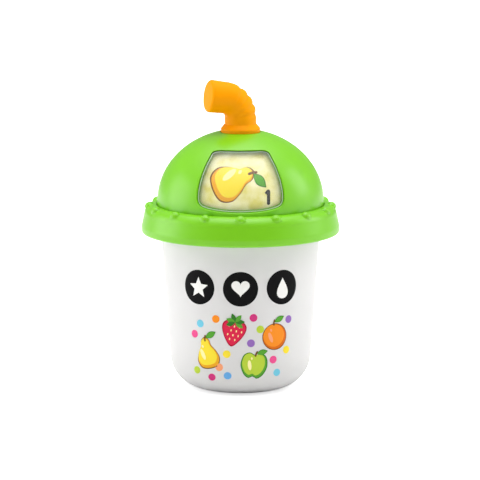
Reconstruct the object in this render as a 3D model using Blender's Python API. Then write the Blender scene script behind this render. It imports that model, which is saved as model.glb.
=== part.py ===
"""Toy smoothie cup: a milky light-up cup, a picture dial that turns under a domed lid, and a
short bent straw that is pressed like a button.

Metres, +Z up. The origin is on the cup's axis, in the plane that the cup stands on. The window
looks along -Y and the battery door is at the back, +Y.
"""
import math

import bmesh
import bpy
from mathutils import Matrix, Vector

for old_object in list(bpy.data.objects):
    bpy.data.objects.remove(old_object, do_unlink=True)

mm = 0.001

# Fits shared by all pieces
gap = 0.3 * mm
running_gap = 0.4 * mm
overrun = 1.0 * mm
shell_sides = 48
inner_sides = 32
round_sides = 20
small_sides = 12
screw_sides = 8
hole_sides = 6

# Cup
cup_head_room = 14.6 * mm
cup_base_radius = 21.0 * mm
cup_corner_radius = 20.0 * mm
cup_flare = 5.4 * mm
cup_wall = 2.2 * mm
cup_rim_wall = 1.2 * mm
cup_rim_depth = 3.0 * mm
recess_radius = 16.0 * mm
recess_depth = 0.6 * mm
grille_pitch = 4.2 * mm
grille_hole_radius = 0.9 * mm
grille_rings = 2

# Deck with the column that carries the lid
deck_thickness = 2.2 * mm
column_slack = 0.7 * mm
column_wall = 2.0 * mm
column_ledge = 2.0 * mm
column_seat_depth = 1.8 * mm

# Screws: case screws, and small ones for the drum and the circuit board
screw_head_radius = 2.5 * mm
screw_head_height = 1.6 * mm
screw_shank_radius = 1.25 * mm
screw_length = 8.4 * mm
small_head_radius = 1.6 * mm
small_head_height = 1.2 * mm
small_shank_radius = 0.9 * mm
small_screw_length = 4.2 * mm
cross_length = 3.0 * mm
cross_width = 0.7 * mm
cross_depth = 0.8 * mm
boss_radius = 3.6 * mm

# Grip ring
ring_height = 16.8 * mm
ring_overlap = 4.0 * mm
ring_reach = 9.2 * mm
ring_lean = 1.5 * mm
ring_shoulder_radius = 4.0 * mm
ring_foot_radius = 1.6 * mm
ring_wall = 2.2 * mm
ring_web = 2.0 * mm
ring_skirt_length = 4.0 * mm
web_edge = 2.6 * mm
tooth_count = 16
tooth_radius = 1.1 * mm
bump_count = 16
bump_width = 6.8 * mm
bump_top_width = 3.4 * mm
bump_rise = 0.6 * mm
bump_drop = 5.2 * mm
bump_length = 5.2 * mm
bump_proud = 0.5 * mm

# Domed lid
lid_reach = 1.9 * mm
dome_band = 2.2 * mm
dome_rise = 41.4 * mm
dome_wall = 2.4 * mm
dome_rim_depth = 3.6 * mm
dome_steps = 12
dome_tube_wall = 2.2 * mm
dome_tube_room = 12.9 * mm
lid_boss_offset = 3.1 * mm
lid_boss_count = 3

# Window
window_half_width = 24.8 * mm
window_head = 8.6 * mm
window_sill = 1.8 * mm
window_ledge = 1.6 * mm
window_recess = 0.6 * mm
window_ledge_wall = 0.5 * mm
# Half outline from the top centre to the bottom centre: share of half width, share of height
window_outline_shares = (
    (0.0, 1.0), (0.27, 1.0), (0.50, 0.995), (0.64, 0.965), (0.715, 0.89), (0.845, 0.71),
    (0.95, 0.49), (1.0, 0.26), (0.965, 0.13), (0.835, 0.062), (0.55, 0.022), (0.28, 0.006),
    (0.0, 0.0))

# Picture drum
drum_gap = 0.8 * mm
drum_wall = 1.6 * mm
drum_foot_width = 9.0 * mm
drum_foot_thickness = 2.0 * mm
drum_tube_gap = 2.6 * mm
drum_screw_count = 4
drum_screw_deg = 56.25
drum_steps = 8

# Straw
straw_radius = 9.2 * mm
straw_flare = 0.3 * mm
straw_wall = 1.8 * mm
straw_bend_radius = 11.5 * mm
straw_stem = 7.4 * mm
straw_head = 10.0 * mm
straw_bend_deg = 82.0
straw_toward_viewer_deg = 18.0
straw_rim_round = 1.2 * mm
straw_groove_depth = 0.55 * mm
straw_groove_degs = (5.0, 22.0, 39.0, 56.0)
straw_groove_half_deg = 8.5
collar_reach = 2.2 * mm
collar_height = 2.7 * mm
collar_edge = 0.6 * mm
lip_reach = 2.0 * mm
lip_thickness = 1.5 * mm
straw_tail_reach = 1.0 * mm
straw_tail_length = 3.4 * mm
straw_travel = 2.5 * mm
straw_sides = 20

# Parts under the straw
top_board_thickness = 1.2 * mm
plug_length = 6.2 * mm
plunger_flange = 2.2 * mm
plunger_radius = 3.5 * mm
pill_radius = 4.0 * mm
pill_thickness = 1.5 * mm
spring_room = 17.7 * mm
spring_wire_radius = 0.5 * mm
spring_turns = 5
spring_turn_points = 12

# Battery box, cells and contacts
cell_radius = 7.25 * mm
cell_length = 49.0 * mm
cell_nub_length = 1.5 * mm
cell_nub_radius = 2.75 * mm
cell_slack = 0.5 * mm
cell_spring_length = 3.8 * mm
cell_spring_radius = 4.2 * mm
cell_spring_wire = 0.4 * mm
cell_spring_turns = 3
cell_spring_turn_points = 8
contact_thickness = 0.5 * mm
contact_half_width = 5.5 * mm
cell_back_room = 1.4 * mm
box_under_room = 5.0 * mm
box_wall = 1.6 * mm
box_roof = 2.0 * mm
box_wall_room = 1.3 * mm
box_flange_edge = 0.5 * mm
box_post_size = 8.0 * mm

# Battery door
door_setback = 1.1 * mm
door_rise = 0.6 * mm
door_boss_room = 0.8 * mm
door_boss_depth = 3.2 * mm
door_head_depth = 2.6 * mm
hook_width = 4.0 * mm
hook_reach = 7.0 * mm
hook_thickness = 1.5 * mm
hook_length = 3.2 * mm
hook_setback = 1.6 * mm
case_recess_depth = 4.6 * mm
case_screw_rise = 3.4 * mm

# Circuit board and what it carries
board_half_width = 25.0 * mm
board_wall_room = 4.0 * mm
board_back = 4.0 * mm
board_thickness = 1.6 * mm
board_drop = 2.6 * mm
board_post_inset = 4.0 * mm
light_radius = 2.5 * mm
light_length = 7.0 * mm
light_spread = 15.0 * mm
light_setback = 8.0 * mm
chip_radius = 5.0 * mm
chip_height = 2.2 * mm
chip_setback = 9.0 * mm
sensor_radius = 2.6 * mm
sensor_length = 9.0 * mm
sensor_reach = 13.0 * mm

# Dial sensing and click
dial_board_width = 4.5 * mm
dial_board_thickness = 1.2 * mm
wiper_width = 5.0 * mm
wiper_thickness = 0.4 * mm
wiper_overlap = 2.4 * mm
leaf_thickness = 0.8 * mm
leaf_height = 1.2 * mm
leaf_half_length = 9.0 * mm
leaf_nose_radius = 1.2 * mm
leaf_setback = 2.4 * mm
leaf_post_radius = 1.8 * mm
leaf_room = 7.0 * mm

# Speaker
speaker_radius = 14.5 * mm
speaker_seat_wall = 1.8 * mm
speaker_seat_height = 4.0 * mm
speaker_rim_height = 1.5 * mm
speaker_height = 7.2 * mm
speaker_back_radius = 9.0 * mm
speaker_wall = 1.2 * mm
cone_thickness = 0.5 * mm
cone_eye_radius = 4.0 * mm
magnet_radius = 8.0 * mm
magnet_height = 5.0 * mm

# Volume switch
switch_turn_deg = 50.0
switch_level = 52.0 * mm
switch_body_width = 6.0 * mm
switch_body_height = 14.0 * mm
switch_body_depth = 5.0 * mm
switch_slot_width = 4.2 * mm
switch_travel = 6.0 * mm
knob_width = 3.6 * mm
knob_height = 4.4 * mm
knob_proud = 1.4 * mm
knob_base_width = 6.4 * mm
knob_base_thickness = 1.2 * mm
knob_grooves = 2
knob_groove = 0.5 * mm

# Wires
wire_radius = 0.7 * mm
wire_spread = 8.0 * mm
wire_rise = 2.0 * mm
wire_step = 1.0 * mm
speaker_wire_spread = 3.0 * mm
speaker_wire_bow = 1.5 * mm


def material(name, colour, roughness, metallic=0.0):
    """A plain Principled material."""
    made = bpy.data.materials.new(name)
    made.use_nodes = True
    shader = made.node_tree.nodes["Principled BSDF"]
    shader.inputs["Base Color"].default_value = (*colour, 1.0)
    shader.inputs["Roughness"].default_value = roughness
    shader.inputs["Metallic"].default_value = metallic
    return made


def finish_bmesh(name, shape, surface=None, sharp_deg=35.0):
    """Turn a bmesh into an object with outward faces and smooth shading."""
    bmesh.ops.recalc_face_normals(shape, faces=shape.faces)
    mesh = bpy.data.meshes.new(name)
    shape.to_mesh(mesh)
    shape.free()
    mesh.shade_smooth()
    mesh.set_sharp_from_angle(angle=math.radians(sharp_deg))
    made = bpy.data.objects.new(name, mesh)
    bpy.context.scene.collection.objects.link(made)
    if surface is None:
        made.hide_render = True
        made.display_type = "WIRE"
    else:
        mesh.materials.append(surface)
    return made


def arc(centre, radius, start_deg, end_deg, steps):
    """Points on an arc, both ends included, as (radius, height) pairs."""
    angles = [math.radians(start_deg + (end_deg - start_deg) * k / steps) for k in range(steps + 1)]
    return [(centre[0] + radius * math.cos(a), centre[1] + radius * math.sin(a)) for a in angles]


def ellipse_run(across, rise, base, from_height, to_radius, steps):
    """Points up a dome whose half section is an ellipse, from a height to a radius."""
    start = math.asin(min(1.0, (from_height - base) / rise))
    end = math.acos(to_radius / across)
    angles = [start + (end - start) * k / steps for k in range(steps + 1)]
    return [(across * math.cos(a), base + rise * math.sin(a)) for a in angles]


def turned(name, profile, sides, surface=None, sharp_deg=35.0):
    """Turn a closed (radius, height) profile once about Z; points on the axis become poles."""
    shape = bmesh.new()
    rings = []
    for radius, height in profile:
        if round(radius, 9) == 0:
            rings.append([shape.verts.new((0, 0, height))])
            continue
        turns = [2 * math.pi * k / sides for k in range(sides)]
        rings.append([shape.verts.new((radius * math.cos(a), radius * math.sin(a), height))
                      for a in turns])
    for ring, following in zip(rings, rings[1:] + rings[:1]):
        if len(ring) == 1 and len(following) == 1:
            continue
        for k in range(sides):
            near = (k + 1) % sides
            if len(ring) == 1:
                shape.faces.new((ring[0], following[k], following[near]))
            elif len(following) == 1:
                shape.faces.new((ring[k], ring[near], following[0]))
            else:
                shape.faces.new((ring[k], ring[near], following[near], following[k]))
    return finish_bmesh(name, shape, surface, sharp_deg)


def block(name, low, high, surface=None, round_by=0.0):
    """A box between two corners, with its edges rounded if asked."""
    shape = bmesh.new()
    bmesh.ops.create_cube(shape, size=1.0)
    size = Vector(high) - Vector(low)
    centre = (Vector(high) + Vector(low)) / 2
    bmesh.ops.transform(shape, verts=shape.verts,
                        matrix=Matrix.Translation(centre) @ Matrix.Diagonal((*size, 1.0)))
    if round_by > 0:
        bmesh.ops.bevel(shape, geom=shape.edges[:], offset=round_by, segments=1, affect="EDGES")
    return finish_bmesh(name, shape, surface)


def rods(name, ends, radius, sides, surface=None):
    """Straight round rods, one for each pair of end points, in one object."""
    shape = bmesh.new()
    part_side = Matrix.Rotation(math.pi / sides / 2, 4, "Z")
    for start, end in ends:
        run = Vector(end) - Vector(start)
        turn = run.to_track_quat("Z", "Y").to_matrix().to_4x4() @ part_side
        place = Matrix.Translation((Vector(start) + Vector(end)) / 2) @ turn
        bmesh.ops.create_cone(shape, cap_ends=True, segments=sides, radius1=radius, radius2=radius,
                              depth=run.length, matrix=place)
    return finish_bmesh(name, shape, surface)


def apply_boolean(target, helper, operation):
    step = target.modifiers.new(helper.name, "BOOLEAN")
    step.object = helper
    step.operation = operation
    step.solver = "EXACT"


def cut(target, helper):
    apply_boolean(target, helper, "DIFFERENCE")


def fuse(target, helper):
    apply_boolean(target, helper, "UNION")


def keep_inside(target, helper):
    apply_boolean(target, helper, "INTERSECT")


def around(count, reach, first_deg=0.0):
    """Places spread evenly on a circle, as (x, y) pairs."""
    turns = [math.radians(first_deg + 360.0 * k / count) for k in range(count)]
    return [(reach * math.cos(a), reach * math.sin(a)) for a in turns]


def coil(name, radius, wire, bottom, top, turns, turn_points, surface):
    """A round-wire compression spring standing on Z, as one closed tube."""
    low = bottom + wire
    rise = top - wire - low
    count = turns * turn_points
    curve = bpy.data.curves.new(name, "CURVE")
    curve.dimensions = "3D"
    curve.bevel_depth = wire
    curve.bevel_resolution = 0
    curve.use_fill_caps = True
    line = curve.splines.new("POLY")
    line.points.add(count)
    for k, point in enumerate(line.points):
        turn = 2 * math.pi * k / turn_points
        point.co = (radius * math.cos(turn), radius * math.sin(turn), low + rise * k / count, 1.0)
    curve.materials.append(surface)
    made = bpy.data.objects.new(name, curve)
    bpy.context.scene.collection.objects.link(made)
    return made


def wire_run(name, route, radius, surface):
    """A wire along a smooth curve through its route's points."""
    steps = 2
    ends = [route[0] * 2 - route[1], *route, route[-1] * 2 - route[-2]]
    smooth = []
    for a, b, c, d in zip(ends, ends[1:], ends[2:], ends[3:]):
        for k in range(steps):
            t = k / steps
            smooth.append(0.5 * (2 * b + (c - a) * t + (2 * a - 5 * b + 4 * c - d) * t ** 2
                                 + (3 * b - a - 3 * c + d) * t ** 3))
    smooth.append(route[-1])
    curve = bpy.data.curves.new(name, "CURVE")
    curve.dimensions = "3D"
    curve.bevel_depth = radius
    curve.bevel_resolution = 2
    curve.use_fill_caps = True
    line = curve.splines.new("POLY")
    line.points.add(len(smooth) - 1)
    for point, place in zip(line.points, smooth):
        point.co = (*place, 1.0)
    curve.materials.append(surface)
    made = bpy.data.objects.new(name, curve)
    bpy.context.scene.collection.objects.link(made)
    return made


# Radii that follow from the sizes above, from the straw outwards
straw_mouth_radius = straw_radius + straw_flare
straw_tail_radius = straw_radius + straw_tail_reach
collar_radius = straw_radius + collar_reach
lip_radius = collar_radius + lip_reach
lid_tube_bore = lip_radius + running_gap * 2
lid_tube_radius = lid_tube_bore + dome_tube_wall
lid_boss_reach = lid_tube_radius + lid_boss_offset
column_radius = lid_tube_bore - column_slack
column_bore = column_radius - column_wall
column_inner = column_bore - column_ledge
drum_top_radius = lid_tube_radius + drum_tube_gap
cup_top_radius = cup_base_radius + cup_corner_radius + cup_flare
dome_radius = cup_top_radius + lid_reach
ring_radius = dome_radius + ring_reach
drum_screw_reach = dome_radius - dome_wall - drum_gap - drum_wall - gap - small_head_radius
web_bore_radius = drum_screw_reach - web_edge
dial_board_outer = web_bore_radius - leaf_room
dial_board_inner = dial_board_outer - dial_board_width
pilot_radius = screw_shank_radius + gap
pilot_depth = screw_length + gap
small_pilot_radius = small_shank_radius + gap

# Levels from the floor to the crown: speaker, battery box, rim, ring and lid
magnet_top = cup_wall + gap + speaker_height + gap + magnet_height
box_bottom = magnet_top + box_under_room
box_floor = box_bottom + box_wall
contact_top = box_floor + gap + contact_thickness
cell_room = cell_spring_length + cell_length + cell_nub_length + 3 * gap
tab_bottom = contact_top + cell_room
box_ceiling = tab_bottom + contact_thickness + gap
box_top = box_ceiling + box_roof
door_bottom = box_bottom + door_rise
door_top = box_top + 2 * boss_radius + door_boss_room
door_screw_level = (box_top + door_top) / 2
case_screw_level = box_top + case_screw_rise
cup_height = box_top + cup_head_room
ledge_top = cup_height - cup_rim_depth
deck_bottom = ledge_top + gap
deck_top = deck_bottom + deck_thickness
post_top = deck_bottom - gap
board_top = deck_bottom - board_drop
board_under = board_top - board_thickness
web_bottom = cup_height + running_gap
web_top = web_bottom + ring_web
ring_bottom = cup_height - ring_overlap
ring_top = ring_bottom + ring_height
dome_base = ring_top + dome_band
dome_rim = ring_top - dome_rim_depth
crown = dome_base + dome_rise
foot_bottom = web_top + gap
foot_top = foot_bottom + drum_foot_thickness
tube_bottom = deck_top + dome_tube_room
lid_boss_bottom = deck_top + gap
dial_board_top = deck_top + gap + dial_board_thickness
window_low = ring_top + window_sill
window_height = crown - window_head - window_low

# The cup's straight wall, which touches the corner's arc and ends at the rim
corner_to_rim = Vector((cup_top_radius - cup_base_radius, cup_height - cup_corner_radius))
wall_turn = math.degrees(math.atan2(corner_to_rim.y, corner_to_rim.x)
                         - math.acos(cup_corner_radius / corner_to_rim.length))
wall_foot = arc((cup_base_radius, cup_corner_radius), cup_corner_radius, wall_turn, wall_turn, 1)[0]
wall_slope = (cup_top_radius - wall_foot[0]) / (cup_height - wall_foot[1])


def cup_radius(height):
    """Outer radius of the cup's straight wall at a height."""
    return wall_foot[0] + wall_slope * (height - wall_foot[1])


def dome_height(radius, inset):
    """Height of the dome's surface, moved inwards by an inset, over a radius."""
    share = radius / (dome_radius - inset)
    return dome_base + (dome_rise - inset) * math.sqrt(1 - share ** 2)


def reach_beside(height, half_width):
    """How far from the middle the cup's inner face lies, beside a piece of some half width."""
    return math.sqrt((cup_radius(height) - cup_wall) ** 2 - half_width ** 2)


# Places that follow from the cup's inner face and from the dome
cell_pitch = 2 * cell_radius + cell_slack
box_half = cell_pitch / 2 + cell_radius + cell_slack + box_wall
box_depth = box_wall + 2 * cell_slack + 2 * cell_radius + cell_back_room
box_post_reach = box_half + box_post_size / 2 + running_gap
box_flange_half = box_post_reach + box_post_size / 2 + box_flange_edge
box_back = min(reach_beside(box_bottom, box_half),
               reach_beside(box_ceiling, box_flange_half)) - box_wall_room
box_front = box_back - box_depth
cell_row = box_front + box_wall + cell_slack + cell_radius
door_half_width = box_half - door_setback
board_front = reach_beside(board_top, board_half_width) - board_wall_room
board_post_reach = board_half_width - board_post_inset
board_post_front = (board_front + board_back) / 2
lip_top = dome_height(lip_radius, dome_wall) - running_gap
lip_bottom = lip_top - lip_thickness
column_top = lip_bottom - spring_room
board_face = column_top - column_seat_depth + gap + top_board_thickness
case_bite = screw_length - (math.sqrt(cup_radius(case_screw_level) ** 2 - box_post_reach ** 2)
                            - case_recess_depth - box_back) + overrun
switch_frame = (Matrix.Rotation(math.radians(switch_turn_deg), 4, "Z")
                @ Matrix.Translation((0, cup_radius(switch_level), switch_level))
                @ Matrix.Rotation(-math.atan(wall_slope), 4, "X"))


# Materials
milky = material("milky plastic", (0.80, 0.80, 0.80), 0.35)
green = material("green plastic", (0.33, 0.74, 0.06), 0.32)
orange = material("orange plastic", (0.98, 0.42, 0.01), 0.32)
clear = material("clear lens", (0.90, 0.93, 0.90), 0.05)
cream = material("cream drum plastic", (0.85, 0.82, 0.55), 0.45)
white = material("white inner plastic", (0.75, 0.75, 0.73), 0.5)
black = material("black plastic", (0.03, 0.03, 0.03), 0.45)
steel = material("zinc plated screw", (0.62, 0.62, 0.60), 0.3, 1.0)
spring_steel = material("spring steel", (0.55, 0.55, 0.56), 0.28, 1.0)
nickel = material("nickel contact", (0.68, 0.66, 0.62), 0.3, 1.0)
copper = material("copper finger", (0.75, 0.42, 0.22), 0.35, 1.0)
laminate = material("green laminate", (0.02, 0.20, 0.07), 0.45)
epoxy = material("black epoxy", (0.02, 0.02, 0.02), 0.3)
lamp = material("clear lamp", (0.85, 0.85, 0.80), 0.15)
can = material("sensor can", (0.60, 0.60, 0.58), 0.35, 1.0)
paper = material("speaker paper", (0.05, 0.05, 0.05), 0.8)
ferrite = material("ferrite", (0.10, 0.10, 0.11), 0.5)
jacket = material("cell jacket", (0.12, 0.14, 0.16), 0.35)
rubber = material("conductive rubber", (0.04, 0.04, 0.04), 0.7)
red_cover = material("red wire", (0.60, 0.03, 0.03), 0.4)
dark_cover = material("black wire", (0.03, 0.03, 0.03), 0.4)


def make_screw_mesh(head_radius, head_height, shank_radius, length, crossed):
    """One pan-head screw, its cross recess cut where it shows; head above z = 0, shank below."""
    bevel = head_height / 2
    blank = turned("screw_blank", [
        (0, head_height), (head_radius - bevel, head_height), (head_radius, head_height - bevel),
        (head_radius, 0), (shank_radius, 0), (shank_radius, shank_radius - length), (0, -length)],
        screw_sides)
    half, thin = cross_length / 2, cross_width / 2
    top = head_height + overrun
    slots = (("cross_x", half, thin), ("cross_y", thin, half)) if crossed else ()
    for name, wide, deep in slots:
        slot = block(name, (-wide, -deep, head_height - cross_depth), (wide, deep, top))
        cut(blank, slot)
    ready = blank.evaluated_get(bpy.context.evaluated_depsgraph_get())
    mesh = bpy.data.meshes.new_from_object(ready)
    mesh.materials.clear()
    mesh.materials.append(steel)
    for helper in [o for o in bpy.data.objects if o.name.startswith(("screw_blank", "cross_"))]:
        bpy.data.objects.remove(helper, do_unlink=True)
    return mesh


def place_screw(name, mesh, seat, heading):
    """Put a screw with its head on a seat, the head looking along the heading."""
    made = bpy.data.objects.new(name, mesh)
    made.location = seat
    made.rotation_mode = "QUATERNION"
    made.rotation_quaternion = Vector(heading).to_track_quat("Z", "Y")
    bpy.context.scene.collection.objects.link(made)
    return made


screw_sizes = (screw_head_radius, screw_head_height, screw_shank_radius, screw_length)
case_screw_mesh = make_screw_mesh(*screw_sizes, True)
screw_mesh = make_screw_mesh(*screw_sizes, False)
small_screw_mesh = make_screw_mesh(small_head_radius, small_head_height, small_shank_radius,
                                   small_screw_length, False)


def make_cup():
    """The milky cup: floor with the grille and speaker seat, drafted wall, thin rim on a ledge."""
    corner = (cup_base_radius, cup_corner_radius)
    seat_bore = speaker_radius + gap
    seat_outer = seat_bore + speaker_seat_wall
    profile = [(0, recess_depth), (recess_radius, recess_depth), (recess_radius, 0)]
    profile += arc(corner, cup_corner_radius, -90, wall_turn, 8)
    profile += [(cup_top_radius, cup_height), (cup_top_radius - cup_rim_wall, cup_height),
                (cup_radius(ledge_top) - cup_rim_wall, ledge_top),
                (cup_radius(ledge_top) - cup_wall, ledge_top)]
    profile += arc(corner, cup_corner_radius - cup_wall, wall_turn, -90, 5)
    profile += [(seat_outer, cup_wall), (seat_outer, cup_wall + speaker_seat_height),
                (seat_bore, cup_wall + speaker_seat_height), (seat_bore, cup_wall), (0, cup_wall)]
    cup = turned("cup_shell", profile, shell_sides, milky)

    holes = [(0.0, 0.0)]
    for ring in range(1, grille_rings + 1):
        holes += around(6 * ring, grille_pitch * ring)
    ends = [((x, y, -overrun), (x, y, cup_wall + overrun)) for x, y in holes]
    cut(cup, rods("cut_grille", ends, grille_hole_radius, hole_sides))

    outside = cup_top_radius + overrun
    cut(cup, block("cut_door_opening", (-door_half_width, cup_base_radius, door_bottom),
                   (door_half_width, outside, door_top)))

    bosses, recesses, shanks = [], [], []
    for side in (-1, 1):
        x = side * box_post_reach
        wall_y = math.sqrt(cup_radius(case_screw_level) ** 2 - x ** 2)
        seat = wall_y - case_recess_depth
        bosses.append(((x, box_back + gap, case_screw_level), (x, wall_y - cup_wall / 2,
                                                               case_screw_level)))
        recesses.append(((x, seat, case_screw_level), (x, outside, case_screw_level)))
        shanks.append(((x, box_back - overrun, case_screw_level), (x, seat + overrun,
                                                                   case_screw_level)))
        place_screw("case_screw_%d" % (1 if side < 0 else 2), case_screw_mesh,
                    (x, seat + gap, case_screw_level), (0, 1, 0))
    fuse(cup, rods("add_case_bosses", bosses, screw_head_radius + 2 * gap + cup_rim_wall,
                   small_sides))
    cut(cup, rods("cut_case_recesses", recesses, screw_head_radius + gap, small_sides))
    cut(cup, rods("cut_case_holes", shanks, pilot_radius, small_sides))

    slot = block("cut_switch_slot", (-switch_slot_width / 2, -2 * cup_wall, -knob_height / 2 - gap),
                 (switch_slot_width / 2, 2 * cup_wall, knob_height / 2 + gap + switch_travel))
    slot.matrix_world = switch_frame
    cut(cup, slot)
    return cup


def make_door():
    """The battery door: a curved panel flush with the cup, hooked below and screwed above."""
    low, high = door_bottom + gap, door_top - gap
    panel = turned("battery_door", [
        (cup_radius(low), low), (cup_radius(high), high), (cup_radius(high) - cup_wall, high),
        (cup_radius(low) - cup_wall, low)], shell_sides, milky)
    half = door_half_width - gap
    keep_inside(panel, block("keep_door", (-half, 0, low - overrun),
                             (half, cup_top_radius + overrun, high + overrun)))
    inner = cup_radius(door_screw_level) - cup_wall
    fuse(panel, rods("add_door_boss", [((0, inner - door_boss_depth, door_screw_level),
                                        (0, inner + cup_wall / 2, door_screw_level))],
                     boss_radius, small_sides))
    outer = cup_radius(door_screw_level)
    seat = outer - door_head_depth
    cut(panel, rods("cut_door_recess", [((0, seat, door_screw_level),
                                         (0, outer + overrun, door_screw_level))],
                    screw_head_radius + gap, small_sides))
    cut(panel, rods("cut_door_hole", [((0, inner - door_boss_depth - overrun, door_screw_level),
                                       (0, outer, door_screw_level))], pilot_radius, small_sides))
    place_screw("door_screw", case_screw_mesh, (0, seat + gap, door_screw_level), (0, 1, 0))

    tongue_back = cup_radius(door_bottom - hook_length) - cup_wall - hook_setback
    root_back = cup_radius(door_bottom) - cup_wall / 2
    for side in (-1, 1):
        x = sorted((side * (hook_reach - hook_width / 2), side * (hook_reach + hook_width / 2)))
        front = tongue_back - hook_thickness
        fuse(panel, block("add_hook_root_%d" % side, (x[0], front, low + gap),
                          (x[1], root_back - cup_wall / 4, low + gap + hook_thickness)))
        fuse(panel, block("add_hook_tongue_%d" % side, (x[0], front, low - hook_length),
                          (x[1], tongue_back, low + gap + hook_thickness / 2)))
    return panel


def make_battery_box():
    """The tray for two upright cells, open towards the door, hung from the deck by two posts."""
    box = block("battery_box", (-box_half, box_front, box_bottom), (box_half, box_back, box_top),
                white)
    cut(box, block("cut_cell_room", (-box_half + box_wall, box_front + box_wall, box_floor),
                   (box_half - box_wall, box_back + overrun, box_ceiling)))
    fuse(box, block("add_box_flange", (-box_flange_half, box_front, box_ceiling + gap),
                    (box_flange_half, box_back - overrun, box_top - gap)))
    half = box_post_size / 2
    for side in (-1, 1):
        x = side * box_post_reach
        fuse(box, block("add_box_post_%d" % side, (x - half, box_back - box_post_size, box_ceiling
                                                   + 2 * gap), (x + half, box_back, post_top)))
        y = box_back - half
        cut(box, rods("cut_post_pilot_%d" % side, [((x, y, post_top - pilot_depth + overrun * 2),
                                                    (x, y, post_top + overrun))],
                      pilot_radius, small_sides))
        cut(box, rods("cut_case_pilot_%d" % side, [
            ((x, box_back - case_bite, case_screw_level),
             (x, box_back + overrun, case_screw_level))], pilot_radius, small_sides))
        place_screw("box_screw_%d" % (1 if side < 0 else 2), screw_mesh,
                    (x, y, deck_top + gap), (0, 0, 1))
    boss_back = cup_radius(door_screw_level) - cup_wall - door_boss_depth - gap
    fuse(box, block("add_door_screw_block", (-boss_radius, box_back - box_post_size,
                                             box_ceiling + 2 * gap),
                    (boss_radius, boss_back, door_top - overrun)))
    cut(box, rods("cut_door_pilot", [((0, boss_back - pilot_depth, door_screw_level),
                                      (0, boss_back + overrun, door_screw_level))],
                  pilot_radius, small_sides))
    return box


def make_cells():
    """Two cells: the first with its nub up, the second turned over, and their contacts."""
    for number, side in ((1, -1), (2, 1)):
        x = side * cell_pitch / 2
        edge = cell_slack
        body = turned("battery_%d" % number, [
            (0, 0), (cell_radius - edge, 0), (cell_radius, edge), (cell_radius, cell_length - edge),
            (cell_radius - edge, cell_length), (cell_nub_radius, cell_length),
            (cell_nub_radius, cell_length + cell_nub_length), (0, cell_length + cell_nub_length)],
            round_sides, jacket)
        upright = number == 1
        low = contact_top + gap
        if upright:
            body.location = (x, cell_row, low + cell_spring_length + gap)
            spring_low = low
        else:
            body.location = (x, cell_row, low + cell_length + cell_nub_length)
            body.rotation_euler = (math.pi, 0, 0)
            spring_low = tab_bottom - gap - cell_spring_length
        spring = coil("contact_spring_%d" % number, cell_spring_radius, cell_spring_wire, spring_low,
                      spring_low + cell_spring_length, cell_spring_turns,
                      cell_spring_turn_points, nickel)
        spring.location = (x, cell_row, 0)
        block("contact_tab_%d" % number,
              (x - contact_half_width, cell_row - contact_half_width, tab_bottom),
              (x + contact_half_width, cell_row + contact_half_width,
               tab_bottom + contact_thickness), nickel)
    reach = cell_pitch / 2 + contact_half_width
    block("contact_bridge", (-reach, cell_row - contact_half_width, box_floor + gap),
          (reach, cell_row + contact_half_width, contact_top), nickel)


def make_deck():
    """The plate that closes the cup, with the hollow column that holds the straw's board."""
    deck_radius = cup_radius(ledge_top) - cup_rim_wall - gap
    deck = turned("deck_plate", [
        (column_inner, deck_bottom), (deck_radius, deck_bottom), (deck_radius, deck_top),
        (column_radius, deck_top), (column_radius, column_top), (column_bore, column_top),
        (column_bore, column_top - column_seat_depth),
        (column_inner, column_top - column_seat_depth)], inner_sides, white)
    through = []
    for number, (x, y) in enumerate(around(lid_boss_count, lid_boss_reach, 90.0), 1):
        through.append(((x, y, deck_bottom - overrun), (x, y, deck_top + overrun)))
        place_screw("dome_screw_%d" % number, screw_mesh, (x, y, deck_bottom - gap), (0, 0, -1))
    for side in (-1, 1):
        x, y = side * box_post_reach, box_back - box_post_size / 2
        through.append(((x, y, deck_bottom - overrun), (x, y, deck_top + overrun)))
    cut(deck, rods("cut_deck_holes", through, pilot_radius, small_sides))

    posts, pilots = [], []
    for number, side in ((1, -1), (2, 1)):
        x, y = side * board_post_reach, -board_post_front
        posts.append(((x, y, board_top + gap), (x, y, deck_bottom + overrun)))
        pilots.append(((x, y, board_top - overrun), (x, y, deck_top - gap)))
        place_screw("board_screw_%d" % number, small_screw_mesh,
                    (x, y, board_under - gap), (0, 0, -1))
    fuse(deck, rods("add_board_posts", posts, boss_radius, small_sides))
    cut(deck, rods("cut_board_pilots", pilots, small_pilot_radius, small_sides))
    nose_back = web_bore_radius - leaf_setback - leaf_thickness
    pins = [((side * (leaf_half_length - leaf_post_radius), nose_back - leaf_post_radius - gap,
              deck_top - overrun),
             (side * (leaf_half_length - leaf_post_radius), nose_back - leaf_post_radius - gap,
              deck_top + leaf_height)) for side in (-1, 1)]
    fuse(deck, rods("add_leaf_pins", pins, leaf_post_radius, small_sides))
    return deck


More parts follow.
